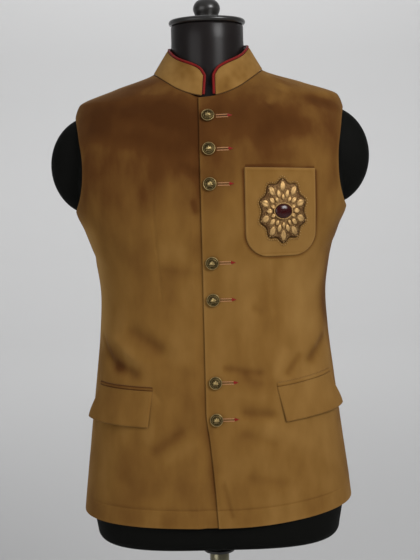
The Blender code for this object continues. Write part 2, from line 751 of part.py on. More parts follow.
def add_form(collection):
    turns = np.arange(FORM_COLUMNS) * 2 * np.pi / FORM_COLUMNS
    rings = form_rings(turns)
    bm = bmesh.new()
    bmesh.ops.create_uvsphere(bm, u_segments=FORM_COLUMNS, v_segments=len(rings) + 1, radius=1)
    for vert in bm.verts:
        level = round((math.asin(max(-1, min(1, vert.co.z))) / math.pi + 0.5) * (len(rings) + 1))
        if level in (0, len(rings) + 1):
            vert.co = (0, 0, FORM_BOTTOM if level == 0 else NECK_TOP)
            continue
        column = round(math.atan2(vert.co.x, -vert.co.y) / (2 * math.pi) * FORM_COLUMNS)
        vert.co = rings[level - 1][column % FORM_COLUMNS]
    mesh = bpy.data.meshes.new("form_torso")
    bm.to_mesh(mesh)
    bm.free()
    torso = add_object("form_torso", mesh, "form_cloth", FORM_CLOTH, collection)
    for side in (-1, 1):
        bm = bmesh.new()
        bmesh.ops.create_uvsphere(bm, u_segments=20, v_segments=12, radius=1)
        bmesh.ops.scale(bm, vec=ARM_CAP_SIZE, verts=bm.verts)
        x, y, z = ARM_CAP_CENTRE
        bmesh.ops.translate(bm, vec=(side * x, y, z + SHOULDER_SLANT * side * x), verts=bm.verts)
        mesh = bpy.data.meshes.new("arm_cap")
        bm.to_mesh(mesh)
        bm.free()
        cap = bpy.data.objects.new("arm_cap", mesh)
        cutters().objects.link(cap)
        cap.hide_render = True
        cap.display_type = "WIRE"
        union = torso.modifiers.new("Arm cap", "BOOLEAN")
        union.operation = "UNION"
        union.object = cap


def cutters():
    found = bpy.data.collections.get("cutters")
    if not found:
        found = bpy.data.collections.new("cutters")
        bpy.context.scene.collection.children.link(found)
    return found


def rounded_disc(radius, thickness, edge):
    """Profile of a disc whose rim is round, from its top centre to its bottom centre."""
    rim = []
    for a in np.radians([0, 45, 90]):
        rim.append((radius - edge * (1 - math.sin(a)), thickness - edge * (1 - math.cos(a))))
    for a in np.radians([90, 45, 0]):
        rim.append((radius - edge * (1 - math.sin(a)), edge * (1 - math.cos(a))))
    return [(0.0, thickness)] + rim + [(0.0, 0.0)]


def flange_profile():
    """A plate under the form, a socket for the pole and a ring round the socket's mouth."""
    ring = rounded_disc(FLANGE_RADIUS, FLANGE_THICKNESS, FLANGE_EDGE)
    plate = [(radius, height + FLANGE_HEIGHT - FLANGE_THICKNESS) for radius, height in ring]
    foot = (SOCKET_RADIUS, FLANGE_HEIGHT - FLANGE_THICKNESS), (SOCKET_RADIUS, FLANGE_THICKNESS)
    return plate[:-1] + list(foot) + ring[1:]


def add_stand(collection):
    cap_base = NECK_TOP + GAP
    knob_base = cap_base + CAP_THICKNESS + GAP
    flange_base = FORM_BOTTOM - GAP - FLANGE_HEIGHT
    pole_base = BASE_THICKNESS + GAP
    pole_length = flange_base - GAP - pole_base
    knob = [(KNOB_RADIUS * point.radius, KNOB_HEIGHT * point.height) for point in KNOB_PROFILE]
    pole = [(0.0, pole_length), (POLE_RADIUS, pole_length), (POLE_RADIUS, 0.0), (0.0, 0.0)]
    cap = rounded_disc(CAP_RADIUS, CAP_THICKNESS, CAP_EDGE)
    base = rounded_disc(BASE_RADIUS, BASE_THICKNESS, BASE_EDGE)
    turned = (
        ("neck_cap", cap, 32, cap_base, "black_lacquer", BLACK_LACQUER),
        ("neck_knob", knob, 20, knob_base, "black_lacquer", BLACK_LACQUER),
        ("form_flange", flange_profile(), 16, flange_base, "black_lacquer", BLACK_LACQUER),
        ("stand_pole", pole, 24, pole_base, "pole_metal", POLE_METAL),
        ("stand_base", base, 36, 0.0, "base_paint", BASE_PAINT),
    )
    for name, profile, steps, height, finish_name, finish in turned:
        piece = add_turned(name, profile_mesh(name, profile, finish_name, finish), steps, collection)
        piece.location = (0, 0, height)


def main():
    for item in list(bpy.data.objects):
        bpy.data.objects.remove(item)
    jacket = bpy.data.collections.new("nehru_jacket")
    bpy.context.scene.collection.children.link(jacket)
    add_fronts(jacket)
    add_backs(jacket)
    add_collar(jacket)
    add_piping(jacket)
    add_chest_pocket(jacket)
    add_badge(jacket)
    add_flaps(jacket)
    add_buttons(jacket)
    add_form(jacket)
    add_stand(jacket)


main()
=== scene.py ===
"""A nehru jacket on a limbless dress form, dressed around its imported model.

Metres, +Z up, the front towards -Y, the wearer's left towards +X. A place on the cloth is a turn
about the upright axis, 0 at the centre front and 90 degrees at the wearer's left, and a height.
"""

import math
from collections import namedtuple

import bmesh
import bpy
import numpy as np
from bpy.props import FloatProperty, FloatVectorProperty, IntProperty, PointerProperty
from mathutils import Matrix, Vector, noise


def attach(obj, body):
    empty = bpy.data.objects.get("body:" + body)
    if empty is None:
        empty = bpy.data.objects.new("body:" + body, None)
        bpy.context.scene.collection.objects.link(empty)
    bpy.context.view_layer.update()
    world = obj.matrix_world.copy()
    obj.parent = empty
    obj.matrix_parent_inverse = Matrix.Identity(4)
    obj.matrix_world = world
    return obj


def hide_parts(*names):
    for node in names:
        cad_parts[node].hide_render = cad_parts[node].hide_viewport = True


bl_info = {
    "name": "Nehru jacket on a dress form",
    "version": (1, 0, 0),
    "blender": (4, 5, 0),
    "location": "3D View > Sidebar > Jacket",
    "description": "Makes the velvet, trimmings, form, stand and stage around the packed model",
    "category": "Object",
}

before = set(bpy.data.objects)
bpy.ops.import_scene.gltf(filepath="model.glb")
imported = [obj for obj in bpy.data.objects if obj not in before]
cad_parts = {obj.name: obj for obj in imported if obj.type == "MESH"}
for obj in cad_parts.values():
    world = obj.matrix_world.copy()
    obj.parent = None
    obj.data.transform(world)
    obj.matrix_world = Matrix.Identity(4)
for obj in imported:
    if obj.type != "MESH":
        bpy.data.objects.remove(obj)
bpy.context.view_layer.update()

# The cut of the jacket
HEM = 0.545
UNDERARM = 1.040
SHOULDER_TIP = 1.200
NECK_POINT = 1.263
NECKLINE = (0.088, 0.080, 0.068, 1.9)
ARMHOLE_FRONT = 19.4
ARMHOLE_BACK = 14.5
ARMHOLE_SAG = 1.45
ARMHOLE_ROUND = 1.3
SHOULDER_SLANT = 0.020
SLANT_HEIGHTS = (1.06, 1.19)
HEM_RISE = 0.015
HEM_RISE_TOP = 0.70
COLLAR_LEAN = 0.0012
BUTTON_LEAN = -0.0050
BUTTON_LEAN_FROM = 0.72
SEAM_GAP = 0.0006
UNDERLAP = 0.014
UNDERLAP_FULL = 0.0185
UNDERLAP_SLOPE = 0.014
LAP_GAP = 0.0010
MOST_CROWDED = 0.85
HEM_LINE = 0.5735

Section = namedtuple("Section", "height half_width front back power")
SECTIONS = (
    Section(0.545, 0.2240, 0.139, 0.136, 2.35),
    Section(0.600, 0.2180, 0.137, 0.132, 2.35),
    Section(0.690, 0.2070, 0.134, 0.127, 2.35),
    Section(0.770, 0.1970, 0.128, 0.118, 2.35),
    Section(0.850, 0.1880, 0.121, 0.106, 2.40),
    Section(0.900, 0.1850, 0.119, 0.102, 2.40),
    Section(0.960, 0.1920, 0.124, 0.107, 2.40),
    Section(1.010, 0.2080, 0.130, 0.115, 2.40),
    Section(1.040, 0.2210, 0.131, 0.119, 2.40),
    Section(1.100, 0.2300, 0.128, 0.122, 2.35),
    Section(1.150, 0.2280, 0.118, 0.121, 2.25),
    Section(1.190, 0.2200, 0.101, 0.115, 2.10),
    Section(1.217, 0.2110, 0.082, 0.106, 1.95),
    Section(1.240, 0.1530, 0.063, 0.091, 1.90),
    Section(1.263, 0.0880, 0.045, 0.073, 1.90),
    Section(1.300, 0.0600, 0.030, 0.050, 1.90),
)

EdgePlace = namedtuple("EdgePlace", "height across")
FRONT_EDGE = (
    EdgePlace(0.545, -0.0005),
    EdgePlace(0.610, -0.0045),
    EdgePlace(0.682, -0.0107),
    EdgePlace(0.730, -0.0160),
    EdgePlace(0.900, -0.0160),
    EdgePlace(1.225, -0.0165),
)

# A trough from one place to another; a negative depth is a ridge
Fold = namedtuple("Fold", "turn height to_turn to_height width depth")
FOLDS = (
    Fold(-79, 0.825, -55, 0.790, 0.013, 0.0032),
    Fold(-66, 0.841, -46, 0.806, 0.012, -0.0022),
    Fold(-53, 0.858, -34, 0.818, 0.014, 0.0026),
    Fold(-19, 0.709, -41, 0.667, 0.015, 0.0024),
    Fold(-46, 0.666, -53, 0.612, 0.015, 0.0020),
    Fold(77, 0.833, 54, 0.793, 0.013, 0.0030),
    Fold(62, 0.824, 48, 0.776, 0.013, -0.0020),
    Fold(16, 0.795, 31, 0.786, 0.012, 0.0016),
    Fold(19, 0.727, 35, 0.717, 0.012, 0.0020),
    Fold(72, 1.240, 45, 1.195, 0.012, -0.0018),
    Fold(108, 0.850, 134, 0.812, 0.014, 0.0030),
    Fold(250, 0.862, 222, 0.818, 0.014, 0.0032),
    Fold(152, 0.842, 170, 0.826, 0.013, 0.0022),
    Fold(205, 0.832, 189, 0.812, 0.013, 0.0020),
    Fold(120, 1.130, 136, 1.060, 0.016, 0.0024),
    Fold(238, 1.125, 223, 1.048, 0.016, 0.0022),
    Fold(140, 0.640, 148, 0.560, 0.018, 0.0024),
    Fold(213, 0.660, 207, 0.565, 0.018, 0.0022),
)
CREASES = (
    Fold(-75, 0.842, -67, 0.806, 0.006, 0.0016),
    Fold(-67, 0.806, -52, 0.787, 0.007, 0.0012),
    Fold(-53, 0.851, -38, 0.829, 0.008, 0.0010),
    Fold(-62, 0.838, -50, 0.809, 0.008, -0.0008),
    Fold(-38, 0.950, -9, 0.946, 0.006, 0.0007),
    Fold(-24, 0.698, -38, 0.668, 0.007, 0.0013),
    Fold(-33, 0.664, -44, 0.640, 0.008, 0.0008),
    Fold(-5, 0.697, -2.5, 0.600, 0.006, 0.0007),
    Fold(-20, 1.112, -9, 1.104, 0.005, 0.0006),
    Fold(-15, 1.128, -6, 1.118, 0.004, 0.0005),
    Fold(-13, 1.060, -10, 1.040, 0.004, 0.0005),
    Fold(-14, 0.905, -5, 0.901, 0.004, 0.0005),
    Fold(-22, 0.957, -8, 0.962, 0.005, 0.0005),
    Fold(-72, 1.188, -19, 1.170, 0.012, 0.0010),
    Fold(-62, 1.216, -40, 1.196, 0.009, 0.0009),
    Fold(71, 1.238, 46, 1.189, 0.007, -0.0010),
    Fold(62, 1.226, 47, 1.200, 0.006, 0.0011),
    Fold(73, 1.208, 76, 1.190, 0.007, 0.0009),
    Fold(53, 0.812, 46, 0.784, 0.006, 0.0013),
    Fold(71, 0.832, 60, 0.804, 0.007, 0.0013),
    Fold(7, 0.797, 30, 0.788, 0.005, 0.0010),
    Fold(20, 0.782, 29, 0.770, 0.007, 0.0008),
    Fold(19, 0.726, 35, 0.721, 0.007, 0.0011),
    Fold(19, 0.692, 35, 0.674, 0.009, 0.0013),
    Fold(36, 0.703, 53, 0.669, 0.010, -0.0009),
    Fold(3.5, 0.615, 8.7, 0.560, 0.004, 0.0010),
    Fold(22, 0.622, 40, 0.608, 0.009, 0.0009),
    Fold(40, 0.769, 37, 0.750, 0.004, 0.0010),
    Fold(-40, 0.762, -36, 0.748, 0.004, 0.0011),
    Fold(29, 0.889, 32, 0.884, 0.007, 0.0006),
    Fold(-86, 0.970, -70, 0.958, 0.008, 0.0012),
    Fold(84, 0.985, 70, 0.972, 0.008, 0.0010),
    Fold(96, 0.905, 112, 0.880, 0.007, 0.0016),
    Fold(104, 0.812, 118, 0.785, 0.008, 0.0014),
    Fold(128, 0.770, 150, 0.742, 0.010, 0.0016),
    Fold(232, 0.792, 214, 0.768, 0.009, 0.0015),
    Fold(262, 0.905, 246, 0.872, 0.007, 0.0016),
    Fold(176, 0.860, 160, 0.880, 0.007, 0.0012),
    Fold(184, 0.872, 200, 0.888, 0.007, 0.0010),
    Fold(132, 1.180, 118, 1.128, 0.009, 0.0014),
    Fold(226, 1.184, 241, 1.136, 0.009, 0.0012),
    Fold(170, 1.236, 152, 1.226, 0.006, 0.0008),
    Fold(192, 1.238, 206, 1.230, 0.006, 0.0008),
    Fold(122, 0.668, 116, 0.590, 0.009, -0.0013),
    Fold(244, 0.655, 249, 0.575, 0.009, -0.0012),
    Fold(166, 0.640, 170, 0.560, 0.010, 0.0013),
    Fold(193, 0.622, 190, 0.556, 0.009, 0.0010),
)
FOLD_TURN_RADIUS = 0.165

# Fine seams pressed into the panels: darts, side panels and the hem's line
SEAMS = (
    Fold(-35.5, 1.089, -36.2, 0.905, 0.0016, 0.0007),
    Fold(36.3, 0.969, 38.8, 0.856, 0.0016, 0.0007),
    Fold(80.5, 0.815, 75.8, 0.772, 0.0016, 0.0009),
    Fold(-80.5, 0.815, -75.8, 0.768, 0.0016, 0.0009),
)

# Strokes of painted light and shade on the velvet, with some marks of its nap: painted shade in the folds and creases
# and painted light on their ridges, painted light down the wearer's right side and painted shade down the wearer's left
# side, a painted shade line along the hem's line, and dark chest patches that are partly the nap and partly painted
# shade; a negative tone is darker
NAP_AND_PAINTED_LIGHT_STROKES = (
    Fold(-74, 1.203, -13, 1.190, 0.020, -0.20),
    Fold(-70, 1.176, -21, 1.138, 0.016, -0.17),
    Fold(-40, 1.207, -12, 1.163, 0.026, -0.26),
    Fold(-60, 1.235, -35, 1.225, 0.012, 0.12),
    Fold(-67, 1.152, -50, 1.135, 0.012, 0.10),
    Fold(-26, 1.075, -25, 0.985, 0.022, 0.13),
    Fold(-60, 1.105, -47, 1.070, 0.030, -0.07),
    Fold(-19, 1.112, -9, 1.101, 0.009, -0.20),
    Fold(-12, 1.054, -11, 1.042, 0.006, -0.24),
    Fold(-33, 0.955, -10, 0.943, 0.010, -0.16),
    Fold(-30, 0.900, -14, 0.870, 0.020, -0.08),
    Fold(-75, 0.838, -61, 0.797, 0.010, -0.46),
    Fold(-61, 0.797, -49, 0.787, 0.009, -0.34),
    Fold(-53, 0.852, -37, 0.829, 0.012, -0.36),
    Fold(-63, 0.838, -50, 0.806, 0.010, 0.22),
    Fold(-33, 0.802, -15, 0.789, 0.012, -0.14),
    Fold(-37, 0.771, -16, 0.745, 0.016, -0.14),
    Fold(-23, 0.698, -38, 0.669, 0.009, -0.28),
    Fold(-14, 0.682, -30, 0.655, 0.010, 0.16),
    Fold(-45, 0.636, -24, 0.612, 0.022, -0.16),
    Fold(-5, 0.700, -1.5, 0.585, 0.009, -0.34),
    Fold(-70, 0.700, -64, 0.590, 0.016, 0.12),
    Fold(13, 1.197, 47, 1.183, 0.024, -0.20),
    Fold(21, 1.158, 60, 1.166, 0.018, -0.15),
    Fold(71, 1.207, 76, 1.202, 0.009, -0.26),
    Fold(66, 1.230, 49, 1.203, 0.006, 0.22),
    Fold(60, 1.222, 47, 1.196, 0.005, -0.16),
    Fold(88, 1.240, 80, 1.222, 0.012, 0.18),
    Fold(24, 1.120, 46, 1.125, 0.020, -0.06),
    Fold(52, 0.955, 57, 0.870, 0.035, 0.20),
    Fold(38, 0.960, 40, 0.880, 0.006, 0.14),
    Fold(29, 0.889, 32, 0.885, 0.008, -0.22),
    Fold(71, 0.832, 60, 0.804, 0.009, -0.40),
    Fold(53, 0.810, 46, 0.786, 0.006, -0.34),
    Fold(45, 0.820, 39, 0.784, 0.008, 0.20),
    Fold(7, 0.797, 30, 0.788, 0.006, -0.30),
    Fold(20, 0.783, 29, 0.771, 0.009, -0.24),
    Fold(14, 0.756, 30, 0.748, 0.009, 0.12),
    Fold(19, 0.726, 35, 0.722, 0.008, -0.28),
    Fold(18, 0.693, 35, 0.675, 0.010, -0.18),
    Fold(36, 0.704, 54, 0.668, 0.012, 0.16),
    Fold(22, 0.622, 40, 0.609, 0.010, -0.14),
    Fold(62, 0.650, 64, 0.600, 0.012, 0.10),
    Fold(3.5, 0.612, 8.7, 0.565, 0.005, -0.20),
    # Painted shade along the hem's line; painted light down the wearer's right side and painted shade down the wearer's
    # left side
    Fold(-62, 0.576, 64, 0.574, 0.0018, -0.14),
    Fold(-86, 0.860, -84, 0.620, 0.030, 0.24),
    Fold(-78, 1.000, -77, 0.850, 0.026, 0.80),
    Fold(-86, 1.190, -76, 1.130, 0.016, 0.16),
    Fold(80, 1.000, 80, 0.870, 0.024, -0.70),
    Fold(86, 0.880, 85, 0.600, 0.030, -0.40),
    Fold(112, 0.848, 134, 0.812, 0.012, -0.34),
    Fold(248, 0.860, 223, 0.818, 0.012, -0.36),
    Fold(120, 1.130, 136, 1.060, 0.014, -0.20),
    Fold(238, 1.125, 223, 1.048, 0.014, -0.22),
    Fold(130, 1.200, 168, 1.190, 0.026, -0.20),
    Fold(230, 1.206, 195, 1.180, 0.024, -0.22),
    Fold(150, 0.985, 172, 0.960, 0.024, 0.14),
    Fold(212, 0.720, 196, 0.660, 0.020, 0.14),
    Fold(142, 0.690, 158, 0.640, 0.018, -0.14),
)
# The velvet's tone by height: darker over the chest, partly the nap and partly painted shade
ToneRow = namedtuple("ToneRow", "height tone")
TONE_BY_HEIGHT = (
    ToneRow(0.545, 0.60),
    ToneRow(0.640, 0.60),
    ToneRow(0.800, 0.62),
    ToneRow(0.930, 0.63),
    ToneRow(1.050, 0.50),
    ToneRow(1.110, 0.38),
    ToneRow(1.170, 0.30),
    ToneRow(1.230, 0.34),
    ToneRow(1.263, 0.46),
)
# Painted light: the wearer's left side, where the key light falls from, is lighter
PAINTED_LIGHT_TO_LEFT = 0.075
# How far the painted highlight along an edge and the painted shadow beside the lap reach
EDGE_HIGHLIGHT = 0.003
LAP_SHADE = 0.006
ARMHOLE_RADIUS = 0.2

CollarTop = namedtuple("CollarTop", "turn height")
COLLAR_TOP = (
    CollarTop(7.8, 1.2525),
    CollarTop(13, 1.2620),
    CollarTop(24, 1.2695),
    CollarTop(41, 1.2770),
    CollarTop(57, 1.2845),
    CollarTop(72, 1.2930),
    CollarTop(90, 1.2995),
    CollarTop(135, 1.3035),
    CollarTop(180, 1.3060),
)
COLLAR_TOP_OVAL = (0.0662, 0.0690, 0.0610, 2)
COLLAR_END_TURN = 7.8
COLLAR_SEAM_RISE = 0.0012
COLLAR_WALL = 0.0026
PIPING_CLEAR = 0.0004

POCKET_LEFT = 0.0525
POCKET_RIGHT = 0.1605
POCKET_BOTTOM = 0.9712
POCKET_TOP = 1.1065
POCKET_TOP_FALL = 0.0045
POCKET_CORNER = 0.035
POCKET_GAP = 0.0007
TRIM_WALL = 0.0014

BADGE_X = 0.1085
BADGE_HEIGHT = 1.0400

Flap = namedtuple("Flap", "name side inner outer top tilt drop inner_shift outer_shift flare")
FLAPS = (
    Flap("left", 1, 39.5, 73.5, 0.7645, 0.0105, 0.0545, 3.3, 5.0, 0.0085),
    Flap("right", -1, 40.6, 73.5, 0.7620, 0.0010, 0.0560, 1.5, 5.5, 0.0080),
)
FLAP_GAP = 0.0006
FLAP_INNER_LIFT = 0.3
JET_HEIGHT = 0.005
JET_WALL = 0.0010
GAP = 0.0003

BUTTON_HEIGHTS = (1.1875, 1.1367, 1.0837, 0.9624, 0.9043, 0.7752, 0.7177)
BUTTON_GAP = 0.00075
BUTTON_RISE = 0.0062

# The camera looks a little down, and its picture leans a little, in degrees
CAMERA_TILT = 6.0
CAMERA_ROLL = 1.4

# The dress form and its stand
NECK = (0.0585, 0.060, 0.054, 2)
NECK_TOP = 1.3365
NECK_FOOT = 1.310
NECK_EDGE = 0.003
NECK_BLEND = 22
FORM_BOTTOM = 0.5005
FORM_EDGE_ROUND = 0.016
FORM_FOOT = (0.2078, 0.1280, 0.1250, 2.9)
FORM_FOOT_TOP = 0.66
FORM_FOOT_TAPER = 0.975
Clearance = namedtuple("Clearance", "height inset")
FORM_CLEARANCE = (
    Clearance(0.500, 0.0120),
    Clearance(0.600, 0.0100),
    Clearance(0.750, 0.0080),
    Clearance(1.180, 0.0090),
    Clearance(1.218, 0.0095),
    Clearance(1.236, 0.0059),
    Clearance(1.258, 0.0050),
    Clearance(1.275, 0.0080),
    Clearance(1.300, 0.0120),
)
ARM_CAP_CENTRE = (0.190, -0.004, 1.1195)
ARM_CAP_SIZE = (0.070, 0.045, 0.0805)
CAP_RADIUS = 0.062
CAP_THICKNESS = 0.009
KNOB_RADIUS = 0.022
KNOB_HEIGHT = 0.044
FLANGE_RADIUS = 0.027
FLANGE_THICKNESS = 0.005
FLANGE_HEIGHT = 0.039
SOCKET_RADIUS = 0.0205
POLE_RADIUS = 0.0163
BASE_RADIUS = 0.180
BASE_THICKNESS = 0.014


def smooth_between(rows, at):
    """The value at a place, on a smooth curve through a table's rows that never overshoots them."""
    places, values = np.array(rows, float).T
    steps = np.diff(places)
    rises = np.diff(values) / steps
    slopes = np.concatenate([[rises[0]], np.zeros(len(rises) - 1), [rises[-1]]])
    for i in range(1, len(rises)):
        if rises[i - 1] * rises[i] > 0:
            before, after = 2 * steps[i] + steps[i - 1], steps[i] + 2 * steps[i - 1]
            slopes[i] = (before + after) / (before / rises[i - 1] + after / rises[i])
    at = np.clip(at, places[0], places[-1])
    i = np.clip(np.searchsorted(places, at) - 1, 0, len(places) - 2)
    span = places[i + 1] - places[i]
    t = (at - places[i]) / span
    start = values[i] * (1 + 2 * t) * (1 - t) ** 2 + slopes[i] * span * t * (1 - t) ** 2
    return start + values[i + 1] * t * t * (3 - 2 * t) + slopes[i + 1] * span * t * t * (t - 1)


def ease(share):
    share = np.clip(share, 0.0, 1.0)
    return share * share * (3 - 2 * share)


def between(start, end, share):
    return start + (end - start) * share


def oval_radius(turn, half_width, front, back, power):
    """Distance from the axis to a rounded oval, at a turn."""
    across, along = np.sin(turn), np.cos(turn)
    depth = np.where(along > 0, front, back)
    return ((np.abs(across) / half_width) ** power + (np.abs(along) / depth) ** power) ** (-1 / power)


def section_at(height):
    columns = np.array(SECTIONS).T
    return [smooth_between(np.array([columns[0], column]).T, height) for column in columns[1:]]


def skin_radius(turn, height):
    return oval_radius(turn, *section_at(height))


def place(turn, height, radius):
    turn, height, radius = np.broadcast_arrays(turn, height, radius)
    return np.stack([radius * np.sin(turn), -radius * np.cos(turn), height], -1)


def skin(turn, height):
    points = place(turn, height, skin_radius(turn, height))
    low, high = SLANT_HEIGHTS
    points[..., 2] += SHOULDER_SLANT * points[..., 0] * ease((height - low) / (high - low))
    return points


def outward(turn, height):
    """Unit normals of the skin."""
    step = 0.0005
    round_it = skin(turn + step, height) - skin(turn - step, height)
    up_it = skin(turn, height + step) - skin(turn, height - step)
    normal = np.cross(round_it, up_it)
    return normal / np.linalg.norm(normal, axis=-1, keepdims=True)


def lines_near(folds, turn, height):
    """Sum of soft strokes along the table's lines, each as strong as its depth at its middle."""
    total = 0 * (turn + height)
    for fold in folds:
        start = np.array([math.radians(fold.turn) * FOLD_TURN_RADIUS, fold.height])
        end = np.array([math.radians(fold.to_turn) * FOLD_TURN_RADIUS, fold.to_height])
        centre = math.radians(fold.turn + fold.to_turn) / 2
        turned = centre + (turn - centre + np.pi) % (2 * np.pi) - np.pi
        here = np.stack(np.broadcast_arrays(turned * FOLD_TURN_RADIUS, height), -1) - start
        run = end - start
        share = np.clip(here @ run / (run @ run), 0, 1)
        away = np.linalg.norm(here - share[..., None] * run, axis=-1)
        total = total + fold.depth * np.exp(-((away / fold.width) ** 2))
    return total


def speckle(points, scale):
    """Smooth noise from -1 to 1 at each point."""
    flat = points.reshape(-1, 3) * scale
    return np.array([noise.noise(Vector(p)) for p in flat]).reshape(points.shape[:-1])


def ripple(turn, height):
    """The cloth's slight waves, in metres."""
    spots = skin(turn, height)
    return 0.0007 * speckle(spots * [1, 1, 0.6], 11) + 0.00025 * speckle(spots, 34)


def cloth(turn, height, out=0.0):
    """Points on the jacket's outside, or that far out from it."""
    turn, height, out = np.broadcast_arrays(*[np.asarray(x, float) for x in (turn, height, out)])
    sink = lines_near(FOLDS + CREASES, turn, height) + ripple(turn, height)
    points = skin(turn, height) + outward(turn, height) * (out - sink)[..., None]
    low = ease((HEM_RISE_TOP - height) / (HEM_RISE_TOP - HEM))
    points[..., 2] += HEM_RISE * np.clip(np.sin(turn), 0, 1) ** 3 * low
    return points


def velvet_tone_with_painted_light(turn, height):
    """How light the velvet is, from 0 to 1: its nap and random patches, with painted light and shade."""
    spots = skin(turn, height)
    # Darker over the chest, partly the nap and partly painted shade, with painted light towards the wearer's left
    tone = smooth_between(TONE_BY_HEIGHT, height) + PAINTED_LIGHT_TO_LEFT * np.sin(turn)
    tone = tone + 0.11 * speckle(spots * [1, 1, 0.45], 15) + 0.07 * speckle(spots * [1, 1, 0.6] + 3.1, 40)
    strength = between(0.55, 0.95, ease((height - 0.98) / 0.14))
    # Painted shade in the folds and creases, painted light and shade on the sides, and some marks of the nap
    return tone + strength * lines_near(NAP_AND_PAINTED_LIGHT_STROKES, turn, height)


def front_turn(across, height):
    """Turn of the front place that lies that far across."""
    half_width, front, _, power = section_at(height)
    depth = front * np.clip(1 - np.abs(across / half_width) ** power, 0, 1) ** (1 / power)
    return np.arctan2(across, depth)


def neckline_height(turn):
    """Height at which the skin passes over the neckline's plan."""
    radius = oval_radius(turn, *NECKLINE)
    low, high = UNDERARM + 0 * turn, SECTIONS[-1].height + 0 * turn
    for _ in range(30):
        middle = (low + high) / 2
        outside = skin_radius(turn, middle) > radius
        low, high = np.where(outside, middle, low), np.where(outside, high, middle)
    return (low + high) / 2


NECKLINE_TURNS = np.linspace(0, np.pi, 361)
NECKLINE_HEIGHTS = neckline_height(NECKLINE_TURNS)
LOWEST_NECK = NECKLINE_HEIGHTS[0]


def neckline_turn(height, first, last):
    """Turn at which the neckline passes a height, between two turns where it climbs."""
    within = (NECKLINE_TURNS >= first - 1e-6) & (NECKLINE_TURNS <= last + 1e-6)
    return np.interp(height, NECKLINE_HEIGHTS[within], NECKLINE_TURNS[within])


def edge_across(height):
    return smooth_between(FRONT_EDGE, height)


def seam_line(turn, height, way):
    """A seam's turn, moved off it by half the seam's gap."""
    return turn + way * SEAM_GAP / 2 / skin_radius(turn, height)


def armhole_climb(share):
    """Height on the armhole, from the underarm at 0 to the shoulder tip at 1."""
    return between(UNDERARM, SHOULDER_TIP, ((1 - np.cos(np.pi * share)) / 2) ** ARMHOLE_SAG)


def armhole_cut(height, reach):
    """How far the armhole cuts into a panel at a height, as a turn."""
    rise = np.clip((height - UNDERARM) / (SHOULDER_TIP - UNDERARM), 0, 1)
    share = np.arccos(1 - 2 * rise ** (1 / ARMHOLE_SAG)) / np.pi
    return np.radians(reach) * np.clip(np.sin(np.pi * share), 0, 1) ** ARMHOLE_ROUND


def turns_between(start, end, cut_start, cut_end, share):
    """Turns from start + cut_start to end - cut_end; each cut moves the nearest columns most."""
    span = end - start
    crowd = np.clip(MOST_CROWDED * span / np.maximum(cut_start, 1e-6), 1, 3)
    return between(start, end, share) + cut_start * (1 - share) ** crowd - cut_end * share**3


def front_turns(across, height, edge):
    """Turns on the half front whose centre edge lies at edge(height), above its neckline too."""
    centre = front_turn(edge(height), height)
    neck = np.where(height > LOWEST_NECK, neckline_turn(height, 0, np.pi / 2), centre)
    side = seam_line(np.pi / 2, height, -1)
    return turns_between(centre, side, neck - centre, armhole_cut(height, ARMHOLE_FRONT), across)


def back_turns(across, height):
    """Turns on the wearer's left half of the back, from the side to the centre seam."""
    side = seam_line(np.pi / 2, height, 1)
    neck = np.where(height > NECK_POINT, neckline_turn(height, np.pi / 2, np.pi), side)
    centre = seam_line(np.pi, height, -1)
    return turns_between(side, centre, neck - side + armhole_cut(height, ARMHOLE_BACK), 0 * side, across)


def overlap_sink(across):
    """How far the right front's edge lies in, to pass under the left front."""
    return (0.002 + LAP_GAP) * ease((across + UNDERLAP_FULL + UNDERLAP_SLOPE) / UNDERLAP_SLOPE)


def edge_shares(count, span, both=True):
    """Shares from 0 to 1 with close ones at the ends, for edges that roll under."""
    near = np.array([0, 0.0003, 0.0008, 0.0016, 0.003]) / span
    even = np.linspace(0.006 / span, 1 - (0.006 / span if both else 0), count)
    return np.concatenate([near, even, 1 - near[::-1]]) if both else np.concatenate([near, even])


def rolled(distance, radius=0.0013):
    """How far a rounded edge has turned in at a distance from it."""
    short = np.clip(radius - distance, 0, radius)
    return radius - np.sqrt(radius**2 - short**2)


def colour(name, description, value):
    return FloatVectorProperty(
        name=name, description=description, subtype="COLOR", size=3, min=0, max=1, default=value
    )


def length(name, description, value):
    return FloatProperty(name=name, description=description, unit="LENGTH", default=value, precision=4)


